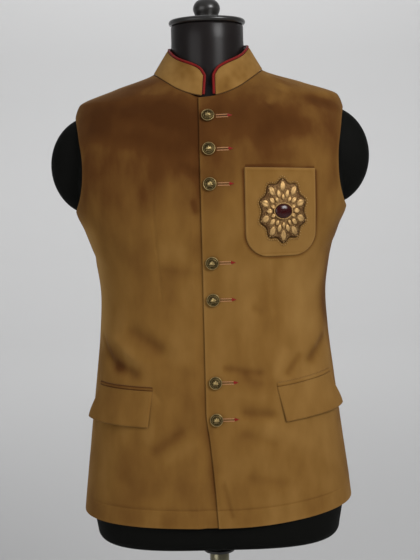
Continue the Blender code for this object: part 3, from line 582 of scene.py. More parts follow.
class JacketSettings(bpy.types.PropertyGroup):
    """Sizes and colours of the jacket and its trimmings."""

    wall: length("Cloth", "Thickness of the velvet panels", 0.002)
    columns: IntProperty(name="Columns", description="Columns of a front panel's grid", default=120)
    rows: IntProperty(name="Rows", description="Rows from the hem to the underarm", default=150)
    # Stops of the velvet's tone, which holds painted light and shade as well as the nap: the dark stops also paint
    # shade in folds and beside trims, the light stop painted highlights on edges
    nap_deep: colour("Deep nap", "Velvet whose nap points at the eye", (0.068, 0.0225, 0.0044))
    nap_dark: colour("Dark nap", "Velvet brushed downwards", (0.102, 0.038, 0.0082))
    nap_middle: colour("Middle nap", "Velvet at rest", (0.215, 0.106, 0.0245))
    nap_light: colour("Light nap", "Velvet whose nap lies over", (0.345, 0.192, 0.057))
    sheen: colour("Sheen", "Light that the pile catches at its edges", (1.0, 0.72, 0.40))
    piping: colour("Piping", "Satin cord on the collar", (0.25, 0.007, 0.005))
    piping_radius: length("Piping radius", "Half the cord's thickness", 0.0021)
    button_radius: length("Button radius", "Half a button's width", 0.01025)
    brass: colour("Brass", "Bright metal of the buttons", (0.46, 0.335, 0.145))
    brass_hollow: colour("Brass hollows", "Dulled metal in the hollows", (0.060, 0.043, 0.017))
    gold: colour("Gold thread", "Metal thread of the ornament", (0.62, 0.39, 0.155))
    gold_hollow: colour("Gold hollows", "Thread in the shade of its neighbours", (0.120, 0.056, 0.017))
    stone: colour("Stone", "Dark red stone", (0.026, 0.001, 0.001))
    hole_thread: colour("Buttonhole thread", "Pale thread of the buttonholes", (0.56, 0.29, 0.12))
    tack_thread: colour("Tack thread", "Red thread of the arrowheads", (0.40, 0.012, 0.006))


class FormSettings(bpy.types.PropertyGroup):
    """Sizes and colours of the dress form and its stand."""

    columns: IntProperty(name="Columns", description="Columns round the form", default=112)
    cover: colour("Cover", "Black cloth of the form", (0.0040, 0.0041, 0.0034))
    # The neck's colour is browner than the cover's, and lighter as a painted sheen
    neck: colour("Neck", "Smoother cover of the neck", (0.0115, 0.0088, 0.0084))
    lacquer: colour("Lacquer", "Black lacquer of the cap and knob", (0.0135, 0.0120, 0.0105))
    pole: colour("Pole", "Metal of the pole", (0.25, 0.23, 0.15))
    paint: colour("Paint", "Black paint of the base", (0.010, 0.010, 0.010))


class StageSettings(bpy.types.PropertyGroup):
    """The backdrop, the lights and the camera."""

    backdrop: colour("Backdrop", "Pale floor and wall", (0.58, 0.58, 0.58))
    key: FloatProperty(name="Key light", description="Power of the main light", unit="POWER", default=49)
    fill: FloatProperty(name="Fill light", description="Power of the fill light", unit="POWER", default=20)
    distance: length("Distance", "From the camera to the form's axis", 1.75)
    camera_height: length("Camera height", "Height of the camera", 1.107)
    lens: FloatProperty(name="Lens", description="Focal length", unit="CAMERA", default=68.14)


def settings(context):
    return context.scene.nehru_jacket, context.scene.dress_form, context.scene.jacket_stage


def add_node(tree, kind, attributes=(), **inputs):
    """A new shader node, with its attributes and its sockets' values or links."""
    node = tree.nodes.new("ShaderNode" + kind)
    for name, value in dict(attributes).items():
        setattr(node, name, value)
    for name, value in inputs.items():
        socket = node.inputs[int(name[1:]) if name[1:].isdigit() else name.replace("_", " ")]
        if isinstance(value, bpy.types.NodeSocket):
            tree.links.new(value, socket)
        else:
            socket.default_value = value
    return node


def new_group(name, inputs, outputs):
    """An empty shader node group with named number sockets."""
    group = bpy.data.node_groups.new(name, "ShaderNodeTree")
    for label, value in inputs:
        made = group.interface.new_socket(label, in_out="INPUT", socket_type="NodeSocketFloat")
        made.default_value = value
    for label in outputs:
        group.interface.new_socket(label, in_out="OUTPUT", socket_type="NodeSocketFloat")
    return group, group.nodes.new("NodeGroupInput"), group.nodes.new("NodeGroupOutput")


def mottle_group():
    """Soft patches: a mask about 0.5 from noise that is stretched upwards."""
    found = bpy.data.node_groups.get("Soft patches")
    if found:
        return found
    group, taken, given = new_group("Soft patches", [("Scale", 12.0), ("Detail", 3.0), ("Stretch", 1.0)], ["Mask"])
    where = add_node(group, "TexCoord").outputs["Object"]
    stretch = add_node(group, "CombineXYZ", X=1.0, Y=1.0, Z=taken.outputs["Stretch"]).outputs[0]
    spot = add_node(group, "VectorMath", {"operation": "MULTIPLY"}, _0=where, _1=stretch).outputs[0]
    large = add_node(group, "TexNoise", Vector=spot, Scale=taken.outputs["Scale"], Detail=taken.outputs["Detail"])
    group.links.new(large.outputs["Fac"], given.inputs["Mask"])
    return group


def grain_group():
    """Fine pile or thread: a height from noise and from diagonal ribs."""
    found = bpy.data.node_groups.get("Fine grain")
    if found:
        return found
    inputs = [("Scale", 900.0), ("Ribs", 0.0), ("Rib Scale", 300.0)]
    group, taken, given = new_group("Fine grain", inputs, ["Height"])
    where = add_node(group, "TexCoord").outputs["Object"]
    pile = add_node(group, "TexNoise", Vector=where, Scale=taken.outputs["Scale"], Detail=2.0).outputs["Fac"]
    ribs = add_node(group, "TexWave", {"bands_direction": "DIAGONAL"}, Vector=where, Scale=taken.outputs["Rib Scale"])
    share, ribbed = taken.outputs["Ribs"], ribs.outputs["Fac"]
    mixed = add_node(group, "Mix", {"data_type": "FLOAT"}, Factor=share, _2=pile, _3=ribbed)
    group.links.new(mixed.outputs[0], given.inputs["Height"])
    return group


def new_material(name):
    made = bpy.data.materials.new(name)
    made.use_nodes = True
    return made, made.node_tree, made.node_tree.nodes["Principled BSDF"]


def set_shader(shader, **values):
    for name, value in values.items():
        shader.inputs[name.replace("_", " ")].default_value = value


def add_bump(tree, shader, scale, distance, strength=0.5, ribs=0.0, rib_scale=300.0):
    grain = add_node(tree, "Group", {"node_tree": grain_group()}, Scale=scale, Ribs=ribs, Rib_Scale=rib_scale)
    bump = add_node(tree, "Bump", Strength=strength, Distance=distance, Height=grain.outputs["Height"])
    tree.links.new(bump.outputs["Normal"], shader.inputs["Normal"])


def ramp(tree, mask, *stops):
    """A colour ramp; each stop is a place and a colour."""
    node = add_node(tree, "ValToRGB", Fac=mask)
    while len(node.color_ramp.elements) < len(stops):
        node.color_ramp.elements.new(0.5)
    for element, (spot, value) in zip(node.color_ramp.elements, stops):
        element.position = spot
        element.color = (*value, 1)
    return node.outputs["Color"]


def velvet(jacket):
    """Cotton velvet: its tone comes from how the nap lies and from painted light and shade, its sheen from the pile's
    edges.
    """
    made, tree, shader = new_material("cotton velvet")
    nap = add_node(tree, "Attribute", {"attribute_name": "nap"}).outputs["Fac"]
    patches = add_node(tree, "Group", {"node_tree": mottle_group()}, Scale=38.0, Detail=4.0, Stretch=0.45)
    centred = add_node(tree, "Math", {"operation": "MULTIPLY_ADD"}, _0=patches.outputs[0], _1=0.34, _2=-0.17)
    tone = add_node(tree, "Math", {"operation": "ADD", "use_clamp": True}, _0=nap, _1=centred.outputs[0])
    stops = (0.0, jacket.nap_deep), (0.28, jacket.nap_dark), (0.6, jacket.nap_middle), (1.0, jacket.nap_light)
    tree.links.new(ramp(tree, tone.outputs[0], *stops), shader.inputs["Base Color"])
    set_shader(shader, Roughness=0.9, Specular_IOR_Level=0.08, Sheen_Weight=0.17, Sheen_Roughness=0.38)
    set_shader(shader, Sheen_Tint=(*jacket.sheen, 1))
    add_bump(tree, shader, 1500.0, 0.0005, 0.45)
    return made


def thread_material(name, value, shade, roughness, metallic, sheen=0.0, rib_scale=420.0):
    """Threads or cord: ribbed, darker between its ribs."""
    made, tree, shader = new_material(name)
    grain = add_node(tree, "Group", {"node_tree": grain_group()}, Scale=700.0, Ribs=0.6, Rib_Scale=rib_scale)
    mixed = ramp(tree, grain.outputs[0], (0.25, shade), (0.62, value))
    tree.links.new(mixed, shader.inputs["Base Color"])
    set_shader(shader, Roughness=roughness, Metallic=metallic, Sheen_Weight=sheen, Specular_IOR_Level=0.15)
    bump = add_node(tree, "Bump", Strength=0.7, Distance=0.0003, Height=grain.outputs[0])
    tree.links.new(bump.outputs["Normal"], shader.inputs["Normal"])
    return made


def relief_metal(name, bright, hollow, roughness, metallic=1.0):
    """Metal that is bright on what stands out and darker in the hollows, by the relief attribute: patina on the brass
    buttons, painted shade between the ornament's gold threads.
    """
    made, tree, shader = new_material(name)
    relief = add_node(tree, "Attribute", {"attribute_name": "relief"}).outputs["Fac"]
    patches = add_node(tree, "Group", {"node_tree": mottle_group()}, Scale=260.0, Detail=3.0, Stretch=1.0)
    worn = add_node(tree, "Math", {"operation": "MULTIPLY_ADD"}, _0=patches.outputs[0], _1=0.5, _2=-0.25)
    mask = add_node(tree, "Math", {"operation": "ADD", "use_clamp": True}, _0=relief, _1=worn.outputs[0])
    tree.links.new(ramp(tree, mask.outputs[0], (0.12, hollow), (0.55, bright)), shader.inputs["Base Color"])
    dull = add_node(tree, "MapRange", Value=mask.outputs[0], _3=roughness + 0.25, _4=roughness)
    tree.links.new(dull.outputs[0], shader.inputs["Roughness"])
    set_shader(shader, Metallic=metallic)
    add_bump(tree, shader, 1200.0, 0.0002, 0.35)
    return made


def plain_material(name, value, roughness, metallic=0.0, grain=1200.0, depth=0.0002, vary=0.35, shine=0.5, coat=0.0):
    """A covered, painted or polished surface with slight patches and a fine grain."""
    made, tree, shader = new_material(name)
    patches = add_node(tree, "Group", {"node_tree": mottle_group()}, Scale=22.0, Detail=5.0, Stretch=0.8)
    dim = tuple(x * (1 - vary) for x in value)
    bright = tuple(min(1.0, x * (1 + vary)) for x in value)
    mixed = ramp(tree, patches.outputs[0], (0.3, dim), (0.7, bright))
    tree.links.new(mixed, shader.inputs["Base Color"])
    rough = add_node(tree, "MapRange", Value=patches.outputs[0], _3=roughness - 0.05, _4=roughness + 0.08)
    tree.links.new(rough.outputs[0], shader.inputs["Roughness"])
    set_shader(shader, Metallic=metallic, Specular_IOR_Level=shine, Coat_Weight=coat, Coat_Roughness=0.2)
    add_bump(tree, shader, grain, depth)
    return made


def cover_material(form):
    """Black knit cover, smoother and glossier on the neck, where its colour is browner and lighter, the lightness
    partly a painted sheen.
    """
    made, tree, shader = new_material("knit cover")
    neck = add_node(tree, "Attribute", {"attribute_name": "neck"}).outputs["Fac"]
    # The neck's lighter colour is partly a painted sheen
    tree.links.new(ramp(tree, neck, (0.0, form.cover), (1.0, form.neck)), shader.inputs["Base Color"])
    rough = add_node(tree, "MapRange", Value=neck, _3=0.70, _4=0.42)
    tree.links.new(rough.outputs[0], shader.inputs["Roughness"])
    coat = add_node(tree, "MapRange", Value=neck, _3=0.0, _4=0.30)
    tree.links.new(coat.outputs[0], shader.inputs["Coat Weight"])
    set_shader(shader, Specular_IOR_Level=0.06, Coat_Roughness=0.28)
    add_bump(tree, shader, 1700.0, 0.0003)
    return made


def backdrop_material(stage):
    """Matt paint, with painted shade that makes the floor a little darker."""
    made, tree, shader = new_material("backdrop")
    where = add_node(tree, "TexCoord").outputs["Object"]
    height = add_node(tree, "SeparateXYZ", Vector=where).outputs["Z"]
    # Painted shade: the floor and the foot of the wall are a little darker than the wall above
    dim = [x * 0.92 for x in stage.backdrop]
    tree.links.new(ramp(tree, height, (0.0, dim), (1.0, stage.backdrop)), shader.inputs["Base Color"])
    set_shader(shader, Roughness=0.9)
    add_bump(tree, shader, 400.0, 0.0001)
    return made


def material(name, maker, *values, **named):
    return bpy.data.materials.get(name) or maker(*values, **named)


def seam_finish():
    return material("seam_thread", thread_material, "seam_thread", (0.15, 0.070, 0.022), (0.06, 0.025, 0.008), 0.8, 0.0)


def velvet_of(jacket):
    return material("cotton velvet", velvet, jacket)


def finish_piece(name, mesh, finish, slot, *nodes, smooth=True):
    """Links a mesh or curve as a piece that rides on the body and stands for the nodes."""
    piece = bpy.data.objects.new(name, mesh)
    bpy.context.scene.collection.objects.link(piece)
    if finish:
        mesh.materials.append(finish)
    if smooth and isinstance(mesh, bpy.types.Mesh):
        mesh.shade_smooth()
    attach(piece, "root")
    if nodes:
        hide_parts(*nodes)
    return piece


def mesh_of(bm, name):
    mesh = bpy.data.meshes.new(name)
    bm.to_mesh(mesh)
    bm.free()
    return mesh


def grid_piece(name, across, up, surface, finish, slot, *nodes, turned=False):
    """A grid laid on surface(across, up), which gives points and the velvet's tone of nap and painted light and shade.
    """
    across, up = np.asarray(across), np.asarray(up)
    points, tones = surface(across[None, :], up[:, None])
    tones = np.broadcast_to(tones, points.shape[:-1])
    bm = bmesh.new()
    bmesh.ops.create_grid(bm, x_segments=len(across) - 1, y_segments=len(up) - 1, size=1)
    columns = [round((v.co.x + 1) / 2 * (len(across) - 1)) for v in bm.verts]
    rows = [round((v.co.y + 1) / 2 * (len(up) - 1)) for v in bm.verts]
    nap = bm.verts.layers.float.new("nap")
    for vert, row, column in zip(bm.verts, rows, columns):
        vert.co = points[row, column]
        vert[nap] = tones[row, column]
    if turned:
        bmesh.ops.reverse_faces(bm, faces=bm.faces)
    return finish_piece(name, mesh_of(bm, name), finish, slot, *nodes)


def add_wall(piece, thickness, outwards=False):
    wall = piece.modifiers.new("Wall", "SOLIDIFY")
    wall.thickness = thickness
    wall.offset = 1 if outwards else -1


def row_heights(rows, back):
    """Heights of the rows, close at the hem's edge and line, with points for armhole and neck."""
    near = HEM + np.array([0, 0.0003, 0.0008, 0.0016, 0.003])
    side = np.linspace(HEM + 0.006, UNDERARM, rows)
    line = HEM_LINE + np.array([-0.0016, -0.0008, 0, 0.0008, 0.0016])
    side = side[np.min(np.abs(side[:, None] - line), axis=1) > 0.001]
    armhole = armhole_climb(np.linspace(0.05, 1, 56))
    chest = np.linspace(SHOULDER_TIP, LOWEST_NECK, 12)[1:]
    turns = np.linspace(1.5, 89.5, 56) if not back else np.linspace(1.5, 178.5, 90)
    neck = neckline_height(np.radians(turns))
    return np.unique(np.concatenate([near, side, line, armhole, chest, neck]).round(7))


def edge_lift(turn, height, first, last, neck):
    """Negative near a panel's edges, where the cloth rolls under, and at its pressed seams."""
    radius = skin_radius(turn, height)
    to_neck = np.where(np.abs(np.sin(turn)) < 0.95, 2.2, 1.1) * (neck - height)
    nearest = np.minimum(np.minimum((turn - first) * radius, (last - turn) * radius), height - HEM)
    nearest = np.minimum(nearest, np.maximum(to_neck, 0))
    line = 0.0004 * np.exp(-(((height - HEM_LINE) / 0.0012) ** 2))
    return -rolled(nearest) - line


def pocket_painted_shadow(x, height):
    """Painted shadow just outside the chest pocket's sides and bottom, and just above its top edge."""
    half = (POCKET_RIGHT - POCKET_LEFT) / 2 - POCKET_CORNER
    across = np.maximum(np.abs(x - (POCKET_LEFT + POCKET_RIGHT) / 2) - half, 0)
    down = np.maximum(POCKET_BOTTOM + POCKET_CORNER - height, 0)
    beyond = np.hypot(across, down) - POCKET_CORNER
    top = POCKET_TOP - POCKET_TOP_FALL * (x - POCKET_LEFT) / (POCKET_RIGHT - POCKET_LEFT)
    sides = np.exp(-(((beyond - 0.0015) / 0.0032) ** 2)) * (height < top + 0.001)
    over = np.exp(-(((height - top - 0.0015) / 0.0024) ** 2)) * (beyond < 0)
    return 0.34 * np.maximum(sides, over)


def panel_surface(turns, sign, sink=None):
    def surface(across, height):
        turn = turns(across, height)
        first, last = turns(np.array([[0.0]]), height), turns(np.array([[1.0]]), height)
        wide_height = height + 0 * turn
        neck = np.interp(turn, NECKLINE_TURNS, NECKLINE_HEIGHTS)
        neck = np.where(turn < 0, LOWEST_NECK, neck)
        lift = edge_lift(turn, wide_height, first, last, neck)
        turn = sign * turn
        lift = lift - lines_near(SEAMS, turn, wide_height)
        if sink:
            lift = lift - sink(skin(turn, wide_height)[..., 0])
        # Painted highlight along the armhole edges and along the hem
        side_edge_highlight = np.exp(-np.minimum(sign * turn - first, last - sign * turn) * ARMHOLE_RADIUS / EDGE_HIGHLIGHT)
        armhole = (wide_height > UNDERARM) & (wide_height < SHOULDER_TIP) & (np.abs(np.cos(turn)) < 0.5)
        hem_highlight = np.exp(-(wide_height - HEM) / EDGE_HIGHLIGHT)
        tone = velvet_tone_with_painted_light(turn, wide_height) + 0.16 * side_edge_highlight * armhole + 0.08 * hem_highlight
        past_lap = edge_across(wide_height) - skin(turn, wide_height)[..., 0]
        if sink:
            # Painted shadow of the left front on the right front beside the lap
            shade = 0.10 + 0.16 * ease((wide_height - 0.95) / 0.2)
            tone = tone - shade * np.exp(-np.clip(past_lap, 0, 1) / LAP_SHADE)
        elif sign > 0 and turns is not back_turns:
            # Painted highlight along the left front's edge, and painted shadow round the chest pocket
            tone = tone + 0.20 * np.exp(-np.clip(-past_lap, 0, 1) / EDGE_HIGHLIGHT)
            tone = tone - pocket_painted_shadow(skin(turn, wide_height)[..., 0], wide_height)
        return cloth(turn, wide_height, lift), tone

    return surface


class JACKET_OT_panels(bpy.types.Operator):
    """Two lapped fronts and the two halves of the back"""

    bl_idname = "jacket.panels"
    bl_label = "Fronts and back"

    def execute(self, context):
        jacket, _, _ = settings(context)
        finish = velvet_of(jacket)
        shares = edge_shares(jacket.columns, 0.30)
        lap = np.unique(np.concatenate([shares, np.linspace(0.02, 0.26, 30)]).round(6))

        def left(across, height):
            return front_turns(across, height, edge_across)

        def right(across, height):
            return front_turns(across, height, lambda height: -UNDERLAP + 0 * height)

        for name, sign, turns, sink in (
            ("front_left", 1, left, None),
            ("front_right", -1, right, overlap_sink),
            ("back_left", 1, back_turns, None),
            ("back_right", -1, back_turns, None),
        ):
            kind = name.split("_")[0]
            rows = row_heights(jacket.rows, kind == "back")
            columns = lap if sink else shares
            surface = panel_surface(turns, sign, sink)
            piece = grid_piece(
                name + "_cloth", columns, rows, surface, finish, "velvet", name, turned=sign < 0
            )
            add_wall(piece, jacket.wall)
        return {"FINISHED"}


def collar_points(turn, up, inward=0.0):
    """The band's outside, from its seam at up 0 to its top edge at up 1."""
    base = cloth(turn, neckline_height(turn))
    base[..., 2] += COLLAR_SEAM_RISE
    from_front = np.degrees(np.abs((turn + np.pi) % (2 * np.pi) - np.pi))
    top = place(turn, smooth_between(COLLAR_TOP, from_front), oval_radius(turn, *COLLAR_TOP_OVAL))
    top[..., 2] += SHOULDER_SLANT * top[..., 0]
    top[..., 0] += COLLAR_LEAN
    way = top - base
    round_it = np.stack([np.cos(turn), np.sin(turn), 0 * turn], -1)
    normal = np.cross(round_it, way)
    normal /= np.linalg.norm(normal, axis=-1, keepdims=True)
    return base + way * np.asarray(up)[..., None] - normal * np.asarray(inward)[..., None]


def piping_path():
    """The cord's centre line: up one end of the band, along its top and down the other end."""
    rising = np.linspace(0.04, 0.97, 10)
    near = COLLAR_END_TURN + np.array([0.3, 1, 2, 3, 4, 5.5, 7, 9, 11, 13.5])
    half = np.concatenate([np.full(10, COLLAR_END_TURN), near, np.linspace(24, 180, 50)])
    turns = np.radians(np.concatenate([half, 360 - half[-2::-1]]))
    ups = np.concatenate([rising, np.ones(2 * len(half) - 21), rising[::-1]])
    middle = collar_points(turns, ups, COLLAR_WALL / 2 + 0 * ups)
    inwards = collar_points(turns, ups, COLLAR_WALL + 0 * ups) - middle
    step = 1e-4
    climbing = collar_points(turns, ups + step) - collar_points(turns, ups - step)
    along_top = collar_points(turns + step, ups) - collar_points(turns - step, ups)
    climbing[turns > np.pi] *= -1
    away = np.cross(np.where((ups < 1)[:, None], climbing, along_top), inwards)
    return middle, away / np.linalg.norm(away, axis=-1, keepdims=True)


def tube_curve(name, path, radius, resolution=4):
    curve = bpy.data.curves.new(name, "CURVE")
    curve.dimensions = "3D"
    curve.bevel_depth = radius
    curve.bevel_resolution = resolution
    curve.use_fill_caps = True
    spline = curve.splines.new("POLY")
    spline.points.add(len(path) - 1)
    for point, spot in zip(spline.points, path):
        point.co = (*spot, 1)
    spline.use_smooth = True
    return curve


class JACKET_OT_collar(bpy.types.Operator):
    """Standing band collar and the red piping round its open edges"""

    bl_idname = "jacket.collar"
    bl_label = "Collar and piping"

    def execute(self, context):
        jacket, _, _ = settings(context)
        end = math.radians(COLLAR_END_TURN)
        turns = end + (2 * math.pi - 2 * end) * edge_shares(190, 0.45)

        def surface(turn, up):
            turn, up = np.broadcast_arrays(turn, up)
            distance = np.minimum((turn - end), (2 * math.pi - end - turn)) * 0.08
            distance = np.minimum(distance, np.minimum(up * 2.2, 1 - up) * 0.045)
            spots = collar_points(turn, up)
            wave = 0.0004 * speckle(spots, 30)
            points = collar_points(turn, up, rolled(distance, 0.001) + wave)
            tone = 0.76 - 0.05 * np.sin(turn) + 0.13 * speckle(spots, 45) + 0.09 * speckle(spots + 5.0, 110)
            tone = tone - 0.22 * np.exp(-(((turn - 2 * math.pi + 0.55) / 0.22) ** 2)) * ease(up * 1.5 - 0.4)
            tone = tone - 0.16 * np.exp(-(((turn - 0.38) / 0.14) ** 2)) * ease(1.3 - up * 1.6)
            return points, tone

        ups = edge_shares(24, 0.045)
        piece = grid_piece("collar_cloth", turns, ups, surface, velvet_of(jacket), "velvet", "collar")
        add_wall(piece, COLLAR_WALL)
        middle, away = piping_path()
        path = middle + away * (jacket.piping_radius + PIPING_CLEAR)
        curve = tube_curve("collar_cord", path, jacket.piping_radius)
        finish = material(
            "satin piping", thread_material, "satin piping", jacket.piping, (0.12, 0.004, 0.003), 0.5, 0.0, 0.05
        )
        finish_piece("collar_cord", curve, finish, "red_cord", "collar_piping")
        seam = cloth(turns, neckline_height(turns), -0.0004) + [0, 0, COLLAR_SEAM_RISE / 2]
        curve = tube_curve("collar_seam", seam[2:-2], 0.0005, 2)
        finish_piece("collar_seam", curve, seam_finish(), "velvet")
        return {"FINISHED"}


def pocket_place(across, up):
    """Across and height of a place on the pocket, whose lower corners are round."""
    top = POCKET_TOP - POCKET_TOP_FALL * across
    height = between(POCKET_BOTTOM, top, up)
    corner = np.clip(1 - (height - POCKET_BOTTOM) / POCKET_CORNER, 0, 1)
    narrowed = POCKET_CORNER * (1 - np.sqrt(np.clip(1 - corner**2, 0, 1)))
    return between(POCKET_LEFT + narrowed, POCKET_RIGHT - narrowed, across), height


def on_chest(x, height, out):
    return cloth(front_turn(x, height), height, out)


def stitches(bm, path, normals, stitch, pitch, thickness, sink=0.35):
    """A row of slightly rounded stitches along a path of points."""
    lengths = np.concatenate([[0], np.cumsum(np.linalg.norm(np.diff(path, axis=0), axis=1))])
    for at in np.arange(pitch / 2, lengths[-1], pitch):
        spot = Vector([np.interp(at, lengths, path[:, k]) for k in range(3)])
        ahead = Vector([np.interp(min(at + 0.001, lengths[-1]), lengths, path[:, k]) for k in range(3)])
        behind = Vector([np.interp(max(at - 0.001, 0), lengths, path[:, k]) for k in range(3)])
        normal = Vector([np.interp(at, lengths, normals[:, k]) for k in range(3)]).normalized()
        add_bead(bm, spot - normal * thickness * sink, ahead - behind, normal, (stitch / 2, thickness, thickness))


def add_bead(bm, spot, along, normal, sizes, segments=8, rings=5):
    """A small rounded bead with its long axis along a direction."""
    along = along.normalized()
    side = normal.cross(along).normalized()
    turn = Matrix((along, side, along.cross(side))).transposed().to_4x4()
    matrix = Matrix.Translation(spot) @ turn @ Matrix.Diagonal((*sizes, 1))
    return bmesh.ops.create_uvsphere(bm, u_segments=segments, v_segments=rings, radius=1, matrix=matrix)


class JACKET_OT_chest_pocket(bpy.types.Operator):
    """Patch pocket with round lower corners"""

    bl_idname = "jacket.chest_pocket"
    bl_label = "Chest pocket"

    def execute(self, context):
        jacket, _, _ = settings(context)

        def surface(across, up):
            x, height = pocket_place(across, up)
            wide = np.maximum(POCKET_RIGHT - POCKET_LEFT, 0.02)
            distance = np.minimum(np.minimum(across, 1 - across) * wide, np.minimum(up, 1 - up) * 0.13)
            turn = front_turn(x, height)
            belly = 0.0012 * np.sin(np.pi * across) * np.sin(np.pi * np.clip(up, 0, 1)) ** 0.7
            out = POCKET_GAP + belly - rolled(distance, 0.0010)
            out = out + 0.0003 * np.exp(-(((up * 0.13 - 0.1115) / 0.002) ** 2))
            # The pocket's tone: its nap's, evened and lighter, with a painted highlight along its rolled edge and a
            # painted shade line 4 mm inside it
            tone = 0.5 * velvet_tone_with_painted_light(turn, height) + 0.5 * 0.62 + 0.12
            tone = tone + 0.16 * np.exp(-distance / 0.0014) - 0.10 * np.exp(-(((distance - 0.004) / 0.001) ** 2))
            return cloth(turn, height, out), tone

        ups = np.concatenate([[0, 0.0015, 0.004, 0.008, 0.014, 0.022, 0.032, 0.045], np.linspace(0.06, 0.975, 60)])
        ups = np.concatenate([ups, [0.985, 0.993, 0.9975, 1.0]])
        piece = grid_piece(
            "chest_pocket_cloth", edge_shares(56, 0.108), ups, surface, velvet_of(jacket), "velvet", "chest_pocket"
        )
        add_wall(piece, TRIM_WALL, outwards=True)
        return {"FINISHED"}


def on_pocket(u, v, w):
    """A point of the ornament: across and up from its centre, and out from the pocket."""
    under = POCKET_GAP + TRIM_WALL + 0.0018
    return on_chest(BADGE_X + u, BADGE_HEIGHT + v, under + w)


def lay_on_pocket(bm):
    """Moves a flat ornament on to the pocket; its relief is remembered."""
    relief = bm.verts.layers.float.new("relief")
    flat = np.array([v.co for v in bm.verts])
    moved = on_pocket(flat[:, 0], flat[:, 1], flat[:, 2])
    tallest = flat[:, 2].max()
    for vert, spot, height in zip(bm.verts, moved, flat[:, 2]):
        vert.co = spot
        vert[relief] = 0.08 + 0.92 * height / tallest


def petal_place(angle, start, end, half_width, along, side):
    """A flat place on a pointed petal, along it from -1 to 1 and to its side."""
    taper = (1 - 0.75 * ease((along - 0.1) / 0.9)) * (1 - 0.35 * ease(-along))
    reach = between(start, end, (along + 1) / 2)
    across = half_width * side * taper
    u = reach * math.sin(angle) + across * math.cos(angle)
    v = reach * math.cos(angle) - across * math.sin(angle)
    return u, v * 49 / 37


def add_petal(bm, angle, start, end, half_width, rise, base=0.0):
    """A petal that grows out from the centre, grooved along its middle; the lowest have a beaded edge."""
    made = bmesh.ops.create_uvsphere(bm, u_segments=16, v_segments=8, radius=1)["verts"]
    for vert in made:
        along, side, up = vert.co
        groove = 1 - 0.45 * math.exp(-((side / 0.22) ** 2))
        place_on = petal_place(angle, start, end, half_width * 0.8, along * 0.86, side)
        vert.co = (*place_on, base + rise * (up * groove + 0.3))
    edge = np.radians(np.linspace(-150, 150, 13)) if base == 0 else ()
    for t in edge:
        place_on = petal_place(angle, start, end, half_width, math.cos(t), math.sin(t))
        spot = Vector((*place_on, 0.7 * rise))
        add_bead(bm, spot, Vector((1, 0, 0)), Vector((0, 0, 1)), (0.00065,) * 3, 6, 4)


def rim_reach(angle):
    """The lobed rim of the ornament, as a share of its size."""
    return 1 + 0.07 * math.cos(10 * angle)


class JACKET_OT_ornament(bpy.types.Operator):
    """Gold thread flower with petals, cords and beads about a dark red stone"""

    bl_idname = "jacket.ornament"
    bl_label = "Pocket ornament"

    def execute(self, context):
        jacket, _, _ = settings(context)
        bm = bmesh.new()
        made = bmesh.ops.create_uvsphere(bm, u_segments=80, v_segments=8, radius=1)["verts"]
        for vert in made:
            angle, flat = math.atan2(vert.co.x, vert.co.y), math.hypot(vert.co.x, vert.co.y)
            reach = rim_reach(angle) * flat
            vert.co = (0.0350 * reach * math.sin(angle), 0.0465 * reach * math.cos(angle), 0.0006 * vert.co.z)
        for k in range(10):
            angle = k * math.tau / 10
            add_petal(bm, angle, 0.0205, 0.0362, 0.0058, 0.0016)
            add_petal(bm, angle + math.tau / 20, 0.0150, 0.0265, 0.0040, 0.0021, 0.0003)
            add_petal(bm, angle, 0.0118, 0.0205, 0.0031, 0.0026, 0.0006)
        beads = 84
        for k in range(beads):
            angle = k * math.tau / beads
            reach = 1.045 * rim_reach(angle)
            spot = Vector((0.0352 * reach * math.sin(angle), 0.0468 * reach * math.cos(angle), 0.0008))
            add_bead(bm, spot, Vector((1, 0, 0)), Vector((0, 0, 1)), (0.00085,) * 3, 6, 4)
        for k in range(36):
            angle = k * math.tau / 36
            spot = Vector((0.0138 * math.sin(angle), 0.0118 * math.cos(angle), 0.0030))
            along = Vector((0.0138 * math.cos(angle), -0.0118 * math.sin(angle), 0))
            add_bead(bm, spot, along + Vector((0, 0, 0.004)), Vector((0, 0, 1)), (0.0014, 0.0009, 0.0009), 8, 5)
        lay_on_pocket(bm)
        finish = material(
            "gold wire", relief_metal, "gold wire", jacket.gold, jacket.gold_hollow, 0.42, 0.75
        )
        finish_piece("ornament", mesh_of(bm, "ornament"), finish, "gold_thread", "badge")
        bm = bmesh.new()
        bmesh.ops.create_uvsphere(bm, u_segments=40, v_segments=20, radius=1)
        for vert in bm.verts:
            x, y, z = vert.co
            vert.co = (0.0126 * x, 0.0106 * y, 0.0022 + 0.0040 * z)
        lay_on_pocket(bm)
        look = "polished stone"
        finish = material(look, plain_material, look, jacket.stone, 0.16, coat=0.2, shine=0.3, depth=0.00002)
        finish_piece("ornament_stone", mesh_of(bm, "ornament_stone"), finish, "dark_stone", "badge_stone")
        return {"FINISHED"}


def flap_place(flap, across, down):
    turn = np.radians(between(flap.inner, flap.outer, across))
    top = flap.top + flap.tilt * across
    turn = turn + np.radians(between(flap.inner_shift, flap.outer_shift, across)) * down
    lift = FLAP_GAP + flap.flare * ease(down) * between(FLAP_INNER_LIFT, 1, ease(across))
    return turn, top - flap.drop * down, lift


